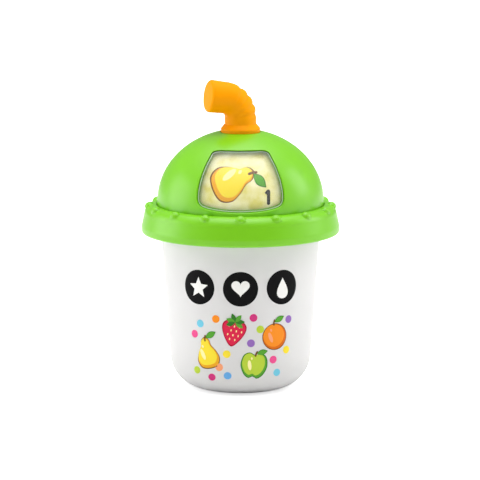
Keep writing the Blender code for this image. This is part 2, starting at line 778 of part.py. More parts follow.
def make_ring():
    """The grip ring: outer skirt, top, an inner wall round the lid's rim, web and hub skirt."""
    inner_bore = dome_radius + running_gap
    hub_bore = cup_top_radius + gap + running_gap
    shoulder = (ring_radius - ring_lean - ring_shoulder_radius, ring_top - ring_shoulder_radius)
    foot = (ring_radius - ring_foot_radius, ring_bottom + ring_foot_radius)
    skirt_bore = ring_radius - ring_lean - ring_wall
    profile = arc(foot, ring_foot_radius, -90, 0, 2)
    profile += [(ring_radius, ring_bottom + ring_height / 4)]
    profile += arc(shoulder, ring_shoulder_radius, 5, 90, 4)
    profile += [(inner_bore, ring_top), (inner_bore, web_top), (web_bore_radius, web_top),
                (web_bore_radius, web_bottom), (hub_bore, web_bottom),
                (hub_bore, web_bottom - ring_skirt_length),
                (hub_bore + ring_wall, web_bottom - ring_skirt_length),
                (hub_bore + ring_wall, web_bottom), (inner_bore + ring_wall, web_bottom),
                (inner_bore + ring_wall, ring_top - ring_wall),
                (skirt_bore - ring_wall, ring_top - ring_wall),
                (skirt_bore, ring_top - ring_wall - ring_wall), (skirt_bore, ring_bottom)]
    ring = turned("dial_ring", profile, shell_sides, green)

    bumps = bmesh.new()
    shoulder_out = ring_radius - ring_lean
    half, top_half = bump_width / 2, bump_top_width / 2
    tip = ring_top + bump_rise
    start = shoulder_out - bump_length
    for k in range(bump_count):
        turn = Matrix.Rotation(math.radians(-90 + 360.0 * k / bump_count), 4, "Z")
        corners = []
        for side in (-1, 1):
            corners += [
                (start, side * half, ring_top - ring_wall / 2), (start, side * top_half, tip),
                (shoulder_out - bump_rise, side * top_half, tip - bump_rise / 2),
                (shoulder_out - bump_rise, side * half, ring_top - bump_drop / 2),
                (shoulder_out + bump_proud, side * top_half, ring_top - bump_drop / 3),
                (shoulder_out + bump_proud, side * top_half * 0.8, ring_top - bump_drop * 0.8),
                (shoulder_out - ring_wall / 2, side * top_half * 0.6, ring_top - bump_drop)]
        fresh = [bumps.verts.new(turn @ Vector(c)) for c in corners]
        bmesh.ops.convex_hull(bumps, input=fresh)
    fuse(ring, finish_bmesh("add_bumps", bumps))

    teeth = [((x, y, web_bottom - overrun), (x, y, web_top + overrun))
             for x, y in around(tooth_count, web_bore_radius, 90.0)]
    cut(ring, rods("cut_teeth", teeth, tooth_radius, hole_sides))
    pilots = [((x, y, web_bottom - overrun), (x, y, web_top + overrun))
              for x, y in around(drum_screw_count, drum_screw_reach, drum_screw_deg)]
    cut(ring, rods("cut_drum_pilots", pilots, small_pilot_radius, small_sides))
    return ring


def make_drum():
    """The picture drum: a foot screwed to the ring's web and a thin wall just under the dome."""
    inset = dome_wall + drum_gap
    outer, rise = dome_radius - inset, dome_rise - inset
    profile = [(outer - drum_foot_width, foot_bottom), (outer, foot_bottom)]
    profile += ellipse_run(outer, rise, dome_base, dome_base, drum_top_radius, drum_steps)
    profile += ellipse_run(outer - drum_wall, rise - drum_wall, dome_base, dome_base,
                           drum_top_radius, drum_steps)[::-1]
    profile += [(outer - drum_wall, foot_top), (outer - drum_foot_width, foot_top)]
    drum = turned("picture_drum", profile, inner_sides, cream)
    holes = []
    for number, (x, y) in enumerate(around(drum_screw_count, drum_screw_reach, drum_screw_deg), 1):
        holes.append(((x, y, foot_bottom - overrun), (x, y, foot_top + overrun)))
        place_screw("drum_screw_%d" % number, small_screw_mesh, (x, y, foot_top + gap), (0, 0, 1))
    cut(drum, rods("cut_drum_holes", holes, small_pilot_radius, small_sides))

    reach = outer - drum_foot_width + wiper_overlap
    contact_x = dial_board_outer - dial_board_width / 2
    top = foot_bottom - gap
    shape = bmesh.new()
    side = [(reach, top), (reach, top - wiper_thickness), (contact_x + wiper_width, top
                                                           - wiper_thickness),
            (contact_x + wiper_thickness, dial_board_top + gap), (contact_x, dial_board_top + gap),
            (contact_x - wiper_thickness, dial_board_top + gap + wiper_thickness),
            (contact_x + wiper_width - wiper_thickness, top)]
    front = [shape.verts.new((x, -wiper_width / 2, z)) for x, z in side]
    back = [shape.verts.new((x, wiper_width / 2, z)) for x, z in side]
    shape.faces.new(front)
    shape.faces.new(back[::-1])
    for k in range(len(side)):
        near = (k + 1) % len(side)
        shape.faces.new((front[k], front[near], back[near], back[k]))
    finish_bmesh("dial_wiper", shape, copper)
    return drum


def window_outline(inset):
    """The window's closed outline in the X-Z plane, drawn inwards by an inset."""
    half = [(x * window_half_width, window_low + z * window_height)
            for x, z in window_outline_shares]
    points = half + [(-x, z) for x, z in half[-2:0:-1]]
    smooth = []
    for k in range(len(points)):
        a, b, c, d = (Vector(points[(k + n) % len(points)]) for n in (-1, 0, 1, 2))
        for t in (0.0, 0.5):
            smooth.append(0.5 * (2 * b + (c - a) * t + (2 * a - 5 * b + 4 * c - d) * t ** 2
                                 + (3 * b - a - 3 * c + d) * t ** 3))
    drawn = []
    for k, point in enumerate(smooth):
        along = (smooth[(k + 1) % len(smooth)] - smooth[k - 1]).normalized()
        drawn.append(point + Vector((along.y, -along.x)) * inset)
    return drawn


def window_prism(name, inset):
    """A bar with the window's outline that runs through the front of the dome."""
    shape = bmesh.new()
    outline = window_outline(inset)
    near = [shape.verts.new((p.x, -dome_radius - overrun, p.y)) for p in outline]
    far = [shape.verts.new((p.x, -cup_base_radius, p.y)) for p in outline]
    shape.faces.new(near)
    shape.faces.new(far[::-1])
    for k in range(len(outline)):
        n = (k + 1) % len(outline)
        shape.faces.new((near[k], near[n], far[n], far[k]))
    return finish_bmesh(name, shape)


def dome_core(name, inset):
    """A solid dome below the lid's surface by an inset, as a cutter."""
    across, rise = dome_radius - inset, dome_rise - inset
    profile = [(0, dome_rim - overrun), (across, dome_rim - overrun)]
    profile += ellipse_run(across, rise, dome_base, dome_base, 0, dome_steps)
    return turned(name, profile, shell_sides)


def make_dome():
    """The lid: an elliptical dome with a straight rim, a straw hole, a tube and screw bosses."""
    hole = collar_radius + running_gap
    inner_r, inner_rise = dome_radius - dome_wall, dome_rise - dome_wall
    profile = [(dome_radius, dome_rim)]
    profile += ellipse_run(dome_radius, dome_rise, dome_base, dome_base, hole, dome_steps - 1)
    profile += [(hole, dome_height(lid_tube_bore, dome_wall))]
    profile += [(lid_tube_bore, dome_height(lid_tube_bore, dome_wall)),
                (lid_tube_bore, tube_bottom),
                (lid_tube_radius, tube_bottom),
                (lid_tube_radius, dome_height(lid_tube_radius, dome_wall))]
    run = ellipse_run(inner_r, inner_rise, dome_base, dome_base, lid_tube_radius, drum_steps)
    profile += run[-2::-1]
    profile += [(inner_r, dome_rim)]
    dome = turned("dome", profile, shell_sides, green)

    boss_top = tube_bottom + screw_length
    bosses, pilots = [], []
    for x, y in around(lid_boss_count, lid_boss_reach, 90.0):
        bosses.append(((x, y, lid_boss_bottom), (x, y, boss_top)))
        pilots.append(((x, y, lid_boss_bottom - overrun), (x, y, lid_boss_bottom + pilot_depth)))
    fuse(dome, rods("add_lid_bosses", bosses, boss_radius, small_sides))
    cut(dome, rods("cut_lid_pilots", pilots, pilot_radius, small_sides))

    recess = window_prism("cut_window_recess", 0)
    cut(recess, dome_core("core_ledge", dome_wall - window_ledge_wall))
    cut(dome, recess)
    cut(dome, window_prism("cut_window_hole", window_ledge))

    lens = window_prism("window_lens", gap)
    lens.hide_render = False
    lens.display_type = "TEXTURED"
    lens.data.materials.append(clear)
    keep_inside(lens, dome_core("core_lens_face", window_recess))
    cut(lens, dome_core("core_lens_back", dome_wall - window_ledge_wall - gap))
    return dome


def straw_stations():
    """Places along the straw's centre line: point, heading, side vector and surface radius."""
    lean = math.radians(straw_toward_viewer_deg)
    out = Vector((-math.cos(lean), -math.sin(lean), 0))
    up = Vector((0, 0, 1))
    across = up.cross(out)
    stem_top = crown + straw_stem
    collar_top = crown + collar_height
    rows = [(lip_bottom - straw_tail_length, straw_tail_radius), (lip_bottom, straw_tail_radius),
            (lip_bottom, lip_radius), (lip_top, lip_radius), (lip_top, collar_radius),
            (crown + gap, collar_radius), (collar_top - collar_edge, straw_radius + collar_edge),
            (collar_top, straw_radius)]
    stations = [(Vector((0, 0, z)), up, across, r) for z, r in rows]
    bend = math.radians(straw_bend_deg)
    steps = 16
    for k in range(steps + 1):
        angle = bend * k / steps
        heading = up * math.cos(angle) + out * math.sin(angle)
        toward = out * math.cos(angle) - up * math.sin(angle)
        centre = Vector((0, 0, stem_top)) + out * straw_bend_radius
        point = centre - toward * straw_bend_radius
        radius = straw_radius
        for groove in straw_groove_degs:
            off = abs(math.degrees(angle) - groove) / straw_groove_half_deg
            if off < 1:
                radius -= straw_groove_depth * (1 - off) ** 2
        stations.append((point, heading, across, radius))
    end_point, heading = stations[-1][0], stations[-1][1]
    for share in (0.5, 1.0):
        run = (straw_head - straw_rim_round) * share
        radius = straw_radius + (straw_mouth_radius - straw_radius) * share
        stations.append((end_point + heading * run, heading, across, radius))
    for k in (1, 2, 3):
        turn = math.radians(30 * k)
        run = straw_head - straw_rim_round * (1 - math.sin(turn))
        radius = straw_mouth_radius - straw_rim_round * (1 - math.cos(turn))
        stations.append((end_point + heading * run, heading, across, radius))
    return stations


def make_straw():
    """The straw: one hollow moulding, shut at the mouth and open below, where its plug goes in."""
    stations = straw_stations()
    shape = bmesh.new()

    def ring_at(point, heading, across, radius):
        other = heading.cross(across)
        turns = [2 * math.pi * k / straw_sides for k in range(straw_sides)]
        return [shape.verts.new(point + (across * math.cos(a) + other * math.sin(a)) * radius)
                for a in turns]

    rings = [ring_at(*station) for station in stations]
    first, last = stations[0], stations[-1]
    bore = straw_radius - straw_wall
    inner = [stations[0]] + [s for s in stations if s[0].z > crown + straw_stem / 2][::3]
    inner = [s for s in inner if (s[0] - last[0]).length > straw_wall]
    inner_rings = [ring_at(point, heading, across, bore) for point, heading, across, _ in inner]
    for set_of_rings in (rings, inner_rings):
        for low, high in zip(set_of_rings, set_of_rings[1:]):
            for k in range(straw_sides):
                near = (k + 1) % straw_sides
                shape.faces.new((low[k], low[near], high[near], high[k]))
    for k in range(straw_sides):
        near = (k + 1) % straw_sides
        shape.faces.new((rings[0][k], rings[0][near], inner_rings[0][near], inner_rings[0][k]))
    for end_ring, place in ((rings[-1], last[0]), (inner_rings[-1], inner[-1][0])):
        middle = shape.verts.new(place)
        for k in range(straw_sides):
            shape.faces.new((end_ring[k], end_ring[(k + 1) % straw_sides], middle))
    straw = finish_bmesh("straw", shape, orange)

    low = first[0].z
    plug = bore - gap
    pill_top = board_face + gap + straw_travel + pill_thickness
    flange_top = low - gap
    turned("straw_plunger", [
        (0, low + plug_length), (plug, low + plug_length), (plug, flange_top),
        (straw_tail_radius, flange_top), (straw_tail_radius, flange_top - plunger_flange),
        (plunger_radius, flange_top - plunger_flange), (plunger_radius, pill_top + gap),
        (0, pill_top + gap)], round_sides, white)
    turned("straw_contact", [(0, pill_top), (pill_radius, pill_top),
                             (pill_radius, pill_top - pill_thickness),
                             (0, pill_top - pill_thickness)], small_sides, rubber)
    coil("straw_spring", (column_bore + column_radius) / 2, spring_wire_radius, column_top + gap,
         lip_bottom - gap, spring_turns, spring_turn_points, spring_steel)
    return straw


def make_boards():
    """The boards, the parts soldered to them and the leaf that clicks on the dial's teeth."""
    seat = column_top - column_seat_depth
    board_radius = column_bore - gap
    turned("top_board", [(0, seat + gap), (board_radius, seat + gap),
                         (board_radius, board_face), (0, board_face)], round_sides, laminate)
    low = deck_top + gap
    turned("dial_board", [(dial_board_inner, low), (dial_board_outer, low),
                          (dial_board_outer, dial_board_top), (dial_board_inner, dial_board_top)],
           inner_sides, laminate)

    board = block("circuit_board", (-board_half_width, -board_front, board_under),
                  (board_half_width, -board_back, board_top), laminate)
    holes = [((side * board_post_reach, -board_post_front, board_under - overrun),
              (side * board_post_reach, -board_post_front, board_top + overrun))
             for side in (-1, 1)]
    cut(board, rods("cut_board_holes", holes, small_pilot_radius, small_sides))

    hang = board_under - gap
    light_front = board_front - light_setback
    chip_front = board_back + chip_setback
    for number, side in enumerate((-1, 0, 1), 1):
        tip = arc((0, hang - light_length + light_radius), light_radius, 0, -90, 4)
        bulb = turned("light_%d" % number, [(0, hang), (light_radius, hang), *tip], small_sides,
                      lamp)
        bulb.location = (side * light_spread, -light_front - (0 if side else light_radius), 0)
    blob = turned("sound_chip", [(0, hang), (chip_radius, hang),
                                 (chip_radius * 0.8, hang - chip_height * 0.7),
                                 (0, hang - chip_height)], small_sides, epoxy)
    blob.location = (0, -chip_front, 0)
    level = hang - sensor_radius
    rods("shake_sensor", [((sensor_reach - sensor_length / 2, -chip_front, level),
                           (sensor_reach + sensor_length / 2, -chip_front, level))],
         sensor_radius, small_sides, can)

    nose_reach = web_bore_radius - gap - leaf_nose_radius
    back = web_bore_radius - leaf_setback - leaf_thickness
    level = web_bottom
    leaf = block("detent_leaf", (-leaf_half_length, back, level),
                 (leaf_half_length, back + leaf_thickness, level + leaf_height), spring_steel)
    fuse(leaf, rods("add_leaf_nose", [((0, nose_reach, level), (0, nose_reach, level
                                                                + leaf_height))],
                    leaf_nose_radius, small_sides))
    return board


def make_speaker():
    """A small speaker in its seat on the floor, looking down through the grille."""
    low = cup_wall + gap
    rim = low + speaker_rim_height
    top = low + speaker_height
    inner_back = speaker_back_radius - speaker_wall
    turned("speaker_frame", [
        (speaker_radius - speaker_wall, low), (speaker_radius, low), (speaker_radius, rim),
        (speaker_back_radius, top - speaker_wall), (speaker_back_radius, top), (0, top),
        (0, top - speaker_wall), (inner_back, top - speaker_wall),
        (speaker_radius - speaker_wall, rim)], round_sides, black)
    outer = speaker_radius - speaker_wall - gap
    apex = top - speaker_wall - 3 * gap
    turned("speaker_cone", [
        (outer, low + gap), (outer, low + gap + cone_thickness), (cone_eye_radius, apex), (0, apex),
        (0, apex - cone_thickness), (cone_eye_radius, apex - cone_thickness),
        (outer - cone_thickness, low + gap)], round_sides, paper)
    turned("speaker_magnet", [
        (0, top + gap), (magnet_radius, top + gap), (magnet_radius, magnet_top), (0, magnet_top)],
        round_sides, ferrite)


def make_volume_switch():
    """The slide switch behind the cup's wall and the knob that shows in the slot."""
    inner = -cup_wall - gap
    base_top = inner
    base_low = base_top - knob_base_thickness
    knob = block("volume_knob", (-knob_width / 2, base_low + gap / 2, -knob_height / 2),
                 (knob_width / 2, knob_proud, knob_height / 2), orange)
    knob.matrix_world = switch_frame
    base = block("add_knob_base", (-knob_base_width / 2, base_low, -knob_height / 2 - gap),
                 (knob_base_width / 2, base_top, knob_height / 2 + gap))
    base.matrix_world = switch_frame
    fuse(knob, base)
    for k in range(knob_grooves):
        z = (k - (knob_grooves - 1) / 2) * knob_height / 3
        groove = block("cut_knob_groove_%d" % k, (-knob_width, knob_proud - knob_groove,
                                                  z - knob_groove / 2),
                       (knob_width, knob_proud + overrun, z + knob_groove / 2))
        groove.matrix_world = switch_frame
        cut(knob, groove)
    back = base_low - gap
    centre = switch_travel / 2
    body = block("volume_switch", (-switch_body_width / 2, back - switch_body_depth,
                                   centre - switch_body_height / 2),
                 (switch_body_width / 2, back, centre + switch_body_height / 2), black)
    body.matrix_world = switch_frame
    for end in (-1, 1):
        near = centre + end * (switch_body_height / 2 - knob_base_thickness)
        far = centre + end * switch_body_height / 2
        lug = block("add_switch_lug_%d" % end, (-switch_body_width / 2, back - overrun,
                                                min(near, far)),
                    (switch_body_width / 2, -cup_wall - gap, max(near, far)))
        lug.matrix_world = switch_frame
        fuse(body, lug)


def make_wires():
    """The leads inside: two from the battery box and two from the speaker to the board."""
    end_level = board_under - gap
    end_y = -board_back - wire_radius * 3
    near_y = -board_back - wire_radius * 2
    start_y = box_front + box_wall + wire_spread / 2
    level = (box_top + end_level) / 2
    for side, name, surface in ((-1, "battery_lead_1", red_cover),
                                (1, "battery_lead_2", dark_cover)):
        x = side * wire_spread
        wire_run(name, [Vector((x, start_y, box_top + gap)),
                        Vector((x, start_y, box_top + wire_rise)),
                        Vector((x, box_front, level)), Vector((x, 0, level)),
                        Vector((x, near_y, level + wire_step)), Vector((x, end_y, end_level))],
                 wire_radius, surface)
    span = end_level - magnet_top
    for side, name, surface in ((-1, "speaker_lead_1", red_cover),
                                (1, "speaker_lead_2", dark_cover)):
        x = side * speaker_wire_spread
        bowed = x + side * speaker_wire_bow
        wire_run(name, [Vector((x, 0, magnet_top + gap)), Vector((x, 0, magnet_top + span / 10)),
                        Vector((bowed, -board_back, magnet_top + span / 2)),
                        Vector((x, near_y, end_level - span / 10)),
                        Vector((x, end_y, end_level))],
                 wire_radius, surface)


make_cup()
make_door()
make_battery_box()
make_cells()
make_deck()
make_ring()
make_drum()
make_dome()
make_straw()
make_boards()
make_speaker()
make_volume_switch()
make_wires()

slide = switch_frame.to_3x3() @ Vector((0, 0, 1))
print("cup wall leans %.2f deg" % math.degrees(math.atan(wall_slope)))
print("crown at %.1f mm, column top %.1f mm" % (crown / mm, column_top / mm))
print("volume knob slides along", tuple(round(v, 5) for v in slide))
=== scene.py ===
# %% [markdown]
# # Toy smoothie cup
# A milky cup with a green grip ring, a domed green lid with a picture window, and a short
# orange straw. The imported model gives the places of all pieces. This lesson makes the fine
# surfaces that a camera sees, and gives every surface its finish.
#
# All shapes are worked out in millimetres as whole arrays, and one function turns them into
# metres when it builds the mesh.

# %% Load the frame
import math

import bmesh
import bpy
import numpy as np
from mathutils import Matrix, Vector


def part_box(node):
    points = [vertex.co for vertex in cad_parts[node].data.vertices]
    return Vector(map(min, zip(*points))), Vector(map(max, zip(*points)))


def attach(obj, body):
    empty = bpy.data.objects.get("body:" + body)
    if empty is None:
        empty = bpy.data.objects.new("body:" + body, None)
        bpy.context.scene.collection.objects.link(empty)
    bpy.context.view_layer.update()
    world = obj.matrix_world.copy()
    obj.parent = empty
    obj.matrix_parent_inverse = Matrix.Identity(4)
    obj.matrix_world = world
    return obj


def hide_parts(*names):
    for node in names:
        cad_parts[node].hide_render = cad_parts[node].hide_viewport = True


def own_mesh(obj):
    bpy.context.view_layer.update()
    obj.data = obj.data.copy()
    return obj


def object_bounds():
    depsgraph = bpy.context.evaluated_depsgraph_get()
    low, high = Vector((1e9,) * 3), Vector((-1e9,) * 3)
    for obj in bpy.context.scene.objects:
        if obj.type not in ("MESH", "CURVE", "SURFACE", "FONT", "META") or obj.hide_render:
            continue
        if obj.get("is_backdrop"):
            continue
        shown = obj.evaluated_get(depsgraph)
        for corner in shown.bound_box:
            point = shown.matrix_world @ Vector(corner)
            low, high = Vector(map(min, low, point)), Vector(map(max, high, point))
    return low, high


mm = 0.001
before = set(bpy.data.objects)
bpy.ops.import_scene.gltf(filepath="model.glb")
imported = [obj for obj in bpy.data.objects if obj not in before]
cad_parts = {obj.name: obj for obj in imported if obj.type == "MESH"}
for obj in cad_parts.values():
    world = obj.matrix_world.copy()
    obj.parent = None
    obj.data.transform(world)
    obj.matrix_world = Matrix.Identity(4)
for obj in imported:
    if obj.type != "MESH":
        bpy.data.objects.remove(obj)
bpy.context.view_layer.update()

# %% [markdown]
# ## Where the pieces are
# The driving sizes are read from the frame's own pieces, so the fine surfaces fit it exactly.


# %% Read the driving sizes
def box_of(node):
    """Lowest and highest corner of a piece of the frame, in millimetres."""
    low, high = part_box(node)
    return np.array(low) / mm, np.array(high) / mm


cup_top_radius, _, cup_height = box_of("cup_shell")[1]
ring_box, door_box = box_of("dial_ring"), box_of("battery_door")
ring_radius, ring_bottom = ring_box[1][0], ring_box[0][2]
dome_radius, drum_radius = box_of("dome")[1][0], box_of("picture_drum")[1][0]
print("cup", cup_top_radius, "ring", ring_radius, "dome", dome_radius, "drum", drum_radius)

# %% [markdown]
# ## Camera
# The photograph looks slightly down on the toy through a long lens. The lens is worked out
# from the width that the frame takes in at the toy's axis, as a photographer would pick it.

# %% Camera
view_down_deg = 9.5
camera_distance = 2400.0
width_at_axis = 279.4
aim_side, aim_height = -0.3, 86.2

scene = bpy.context.scene
camera_data = bpy.data.cameras.new("camera")
camera_data.lens = camera_data.sensor_width * camera_distance / width_at_axis
camera_data.clip_start = 0.05
camera = bpy.data.objects.new("camera", camera_data)
scene.collection.objects.link(camera)
tilt = math.radians(view_down_deg)
back = Vector((0, -math.cos(tilt), math.sin(tilt)))
camera.location = Vector((aim_side, 0, aim_height)) * mm + back * camera_distance * mm
camera.rotation_euler = (math.pi / 2 - tilt, 0, 0)
scene.camera = camera
print("lens %.1f mm" % camera_data.lens)

# %% [markdown]
# ## Nodes in few words
# The light and every finish are node trees. One helper makes a node with its settings, and
# one gives its inputs plain values or links them to what other nodes put out.


# %% Node helpers
def feed(tree, node, inputs):
    """Sets the inputs of a node, or links them where a value is another node's socket."""
    for title, value in inputs.items():
        if isinstance(value, bpy.types.NodeSocket):
            tree.links.new(value, node.inputs[title])
        else:
            node.inputs[title].default_value = value
    return node


def add_node(tree, kind, inputs=None, **settings):
    """A new shader node with its settings first, and then its inputs."""
    node = tree.nodes.new("ShaderNode" + kind)
    for title, value in settings.items():
        setattr(node, title, value)
    return feed(tree, node, inputs or {})


def math_node(tree, operation, *values):
    """The output of a Math node over values or sockets."""
    return add_node(tree, "Math", dict(enumerate(values)), operation=operation).outputs[0]


def mixed(tree, share, first, second):
    """The output of a Mix Shader node between two shader sockets."""
    return add_node(tree, "MixShader", {0: share, 1: first, 2: second}).outputs[0]


# %% [markdown]
# ## Studio
# The toy stands in a light tent. Its side walls and its roof glow, and its front, where the
# camera looks in, is dimmer, so that round pieces are brightest towards their sides and top.
# The world stands for the tent: its strength follows the direction (x, y, z) of each ray,
# front + side * |x|^6 + roof * z^6, where z counts only upwards. To the camera, and through
# clear pieces, the tent is plain white, which adds no light to the toy. Shiny pieces mirror
# the tent with a share of that white in it, so that screws don't turn dark.

# %% Tent
front_strength, side_strength, roof_strength = 0.10, 1.35, 4.9
wall_focus = 6.0
white_in_gloss = 0.25
tent_colour, plain_white = (1.0, 0.985, 0.97, 1), (1, 1, 1, 1)

scene.view_settings.view_transform = "Standard"
scene.world = bpy.data.worlds.new("studio")
scene.world.use_nodes = True
tent = scene.world.node_tree
tent.nodes.clear()
heading = add_node(tent, "SeparateXYZ", {0: add_node(tent, "TexCoord").outputs["Generated"]}).outputs
side_share = math_node(tent, "POWER", math_node(tent, "ABSOLUTE", heading["X"]), wall_focus)
roof_share = math_node(tent, "POWER", math_node(tent, "MAXIMUM", heading["Z"], 0.0), wall_focus)
sides = math_node(tent, "MULTIPLY_ADD", side_share, side_strength, front_strength)
strength = math_node(tent, "MULTIPLY_ADD", roof_share, roof_strength, sides)
ray = add_node(tent, "LightPath").outputs
seen = math_node(tent, "MAXIMUM", ray["Is Camera Ray"], ray["Is Transmission Ray"])
glossy = math_node(tent, "MULTIPLY", ray["Is Glossy Ray"], white_in_gloss)
walls = add_node(tent, "Background", {"Color": tent_colour, "Strength": strength})
white = add_node(tent, "Background", {"Color": plain_white, "Strength": 1.0})
add_node(tent, "OutputWorld", {"Surface": mixed(
    tent, math_node(tent, "MAXIMUM", seen, glossy), walls.outputs[0], white.outputs[0])})
print("tent of", len(tent.nodes), "nodes")

# %% [markdown]
# Two soft boxes stand beside the toy, a wide one on the left and a smaller, higher one on
# the right. They draw the pale streaks on the lid's flanks, on the ring and on the cup: a
# lamp shows where a normal is halfway between the directions of lamp and camera.

# %% Soft boxes
left_watts, right_watts = 1.1, 1.0


def soft_lamp(name, place, wide, high, watts):
    """A rectangular lamp at a place in millimetres, turned towards the middle of the toy."""
    data = bpy.data.lights.new(name, "AREA")
    data.shape = "RECTANGLE"
    data.size, data.size_y = wide * mm, high * mm
    data.energy = watts
    lamp = bpy.data.objects.new(name, data)
    lamp.location = Vector(place) * mm
    aim = Vector((0, 0, aim_height)) * mm - lamp.location
    lamp.rotation_euler = aim.to_track_quat("-Z", "Y").to_euler()
    scene.collection.objects.link(lamp)


soft_lamp("lamp_left", (-650, 60, 230), 460, 420, left_watts)
soft_lamp("lamp_right", (640, 90, 400), 260, 420, right_watts)

# %% [markdown]
# ## Making a surface
# Every new piece is a grid of points: rows along one parameter, columns round the other.
# The grid becomes quads, and where the rows close on a pole or on themselves the doubled
# points are merged, so that the surface is closed and its faces point outwards.


# %% A grid of points becomes a mesh
def points_of(*parts):
    """Points from their coordinates, which are arrays or single numbers."""
    return np.stack(np.broadcast_arrays(*parts), axis=-1)


def round_angles(count, first_deg=0.0):
    """Angles of so many places spread evenly round a circle."""
    return np.radians(first_deg) + 2 * np.pi * np.arange(count) / count


def grid_quads(rows, columns):
    """Corner numbers of the quads of a grid whose columns close on themselves."""
    i, j = np.meshgrid(np.arange(rows - 1), np.arange(columns), indexing="ij")
    here, beside = i * columns + j, i * columns + (j + 1) % columns
    return points_of(here, beside, beside + columns, here + columns).reshape(-1, 4)


def shade(mesh, smooth_deg=32.0):
    """Smooth shading that breaks at edges sharper than an angle."""
    mesh.shade_smooth()
    mesh.set_sharp_from_angle(angle=math.radians(smooth_deg))


def build_mesh(name, points, quads, inks=None, **shading):
    """A smooth object from points in millimetres and quads, doubles merged, faces outwards.

    Inks gives the number of each quad's material, where the piece has several."""
    mesh = bpy.data.meshes.new(name)
    mesh.from_pydata((points * mm).tolist(), [], quads.tolist())
    if inks is not None:
        mesh.polygons.foreach_set("material_index", np.asarray(inks, np.int32))
    shape = bmesh.new()
    shape.from_mesh(mesh)
    bmesh.ops.remove_doubles(shape, verts=shape.verts, dist=0.002 * mm)
    bmesh.ops.dissolve_degenerate(shape, edges=shape.edges, dist=0.001 * mm)
    bmesh.ops.recalc_face_normals(shape, faces=shape.faces)
    shape.to_mesh(mesh)
    shape.free()
    shade(mesh, **shading)
    made = bpy.data.objects.new(name, mesh)
    scene.collection.objects.link(made)
    return made


def joined(name, grids, numbers=None, **options):
    """One object from several closed grids; numbers gives each grid's material number."""
    starts = np.cumsum([0] + [grid.shape[0] * grid.shape[1] for grid in grids])
    quads = [grid_quads(*grid.shape[:2]) + start for grid, start in zip(grids, starts)]
    if numbers is not None:
        options["inks"] = np.repeat(numbers, [len(part) for part in quads])
    points = np.vstack([grid.reshape(-1, 3) for grid in grids])
    return build_mesh(name, points, np.vstack(quads), **options)


def surface(name, grid, **options):
    """One object from one grid of points, rows x columns x 3."""
    return joined(name, [grid], **options)


# %% [markdown]
# ## Profiles
# A turned piece starts as a profile of (radius, height) corners. Moulded plastic has no sharp
# corners, so each corner is replaced by an arc that touches both its runs: its centre lies on
# the corner's bisector, and it starts at radius / tan(half the corner's angle) from the corner.
# Long straight runs get a point close to each end, which keeps their shading flat.


# %% Rounded profiles
def unit(vectors):
    """Vectors made one long."""
    return vectors / np.maximum(np.linalg.norm(vectors, axis=-1, keepdims=True), 1e-12)


def rounded(corners, closed=False, steps=6):
    """A path through (x, y, radius) corners, each rounded by an arc of its radius.

    The arc's points turn evenly from one touching point to the other about its centre."""
    table = np.asarray(corners, float)
    place, radius = table[:, :2], np.maximum(table[:, 2], 1e-4)
    before, after = np.roll(place, 1, axis=0), np.roll(place, -1, axis=0)
    if not closed:
        before[0], after[-1] = 2 * place[0] - place[1], 2 * place[-1] - place[-2]
    a, b = unit(before - place), unit(after - place)
    half = np.arccos(np.clip((a * b).sum(1), -1, 1)) / 2
    straight = np.pi / 2 - half < 2e-3
    half = np.clip(half, 1e-3, np.pi / 2 - 1e-3)
    reach = (radius / np.tan(half))[:, None]
    centre = place + unit(a + b) * (radius / np.sin(half))[:, None]
    first, last = place + a * reach - centre, place + b * reach - centre
    start = np.arctan2(first[:, 1], first[:, 0])
    turn = np.arctan2(last[:, 1], last[:, 0]) - start
    turn = (turn + np.pi) % (2 * np.pi) - np.pi
    angle = start[:, None] + turn[:, None] * np.linspace(0, 1, steps + 1)
    arcs = centre[:, None] + radius[:, None, None] * points_of(np.cos(angle), np.sin(angle))
    arcs[straight] = place[straight][:, None]
    points = arcs.reshape(-1, 2)
    if not closed:
        points = np.vstack([place[:1], points[steps + 1:-steps - 1], place[-1:]])
    kept = np.linalg.norm(np.diff(points, axis=0), axis=1) > 1e-3
    return points[np.r_[True, kept]]


def path_length(points):
    """How far along a path each of its points lies."""
    return np.r_[0, np.cumsum(np.linalg.norm(np.diff(points, axis=0), axis=1))]


def path_at(points, marks):
    """The places on a path at some lengths along it."""
    length = path_length(points)
    return points_of(*(np.interp(marks, length, column) for column in points.T))


def supported(points, near=0.5):
    """The same path, with a point close to both ends of each long straight run."""
    length = path_length(points)
    long = np.diff(length) > 3 * near
    return path_at(points, np.unique(np.r_[length, length[:-1][long] + near, length[1:][long] - near]))


def resampled(points, step):
    """The same path, with no run longer than a step."""
    length = path_length(points)
    counts = np.maximum(np.ceil(np.diff(length) / step).astype(int), 1)
    marks = [np.linspace(a, b, n, endpoint=False) for a, b, n in zip(length, length[1:], counts)]
    return path_at(points, np.r_[np.concatenate(marks), length[-1]])


def arc(centre, radius, start_deg, end_deg, steps):
    """Points on an arc as (x, y, 0) corners, both ends included."""
    angle = np.radians(np.linspace(start_deg, end_deg, steps + 1))
    return points_of(centre[0] + radius * np.cos(angle), centre[1] + radius * np.sin(angle), 0)


def turned(path, columns=192):
    """Points of a path of (radius, height) turned once about the Z axis."""
    angle = round_angles(columns, -90)
    radius, height = path[:, 0, None], path[:, 1, None]
    return points_of(radius * np.cos(angle), radius * np.sin(angle), height)


# %% [markdown]
# ## Plates
# A window pane, a door or a printed motif is a plate: its outline is drawn flat, rows of points
# run from its middle to the outline, and a function lays them on the round surface they
# belong to. Rows can also go down at the rim, which gives the plate its thickness.


# %% Plates
def left_of(along):
    """Flat directions turned a quarter turn to the left."""
    return points_of(-along[:, 1], along[:, 0])


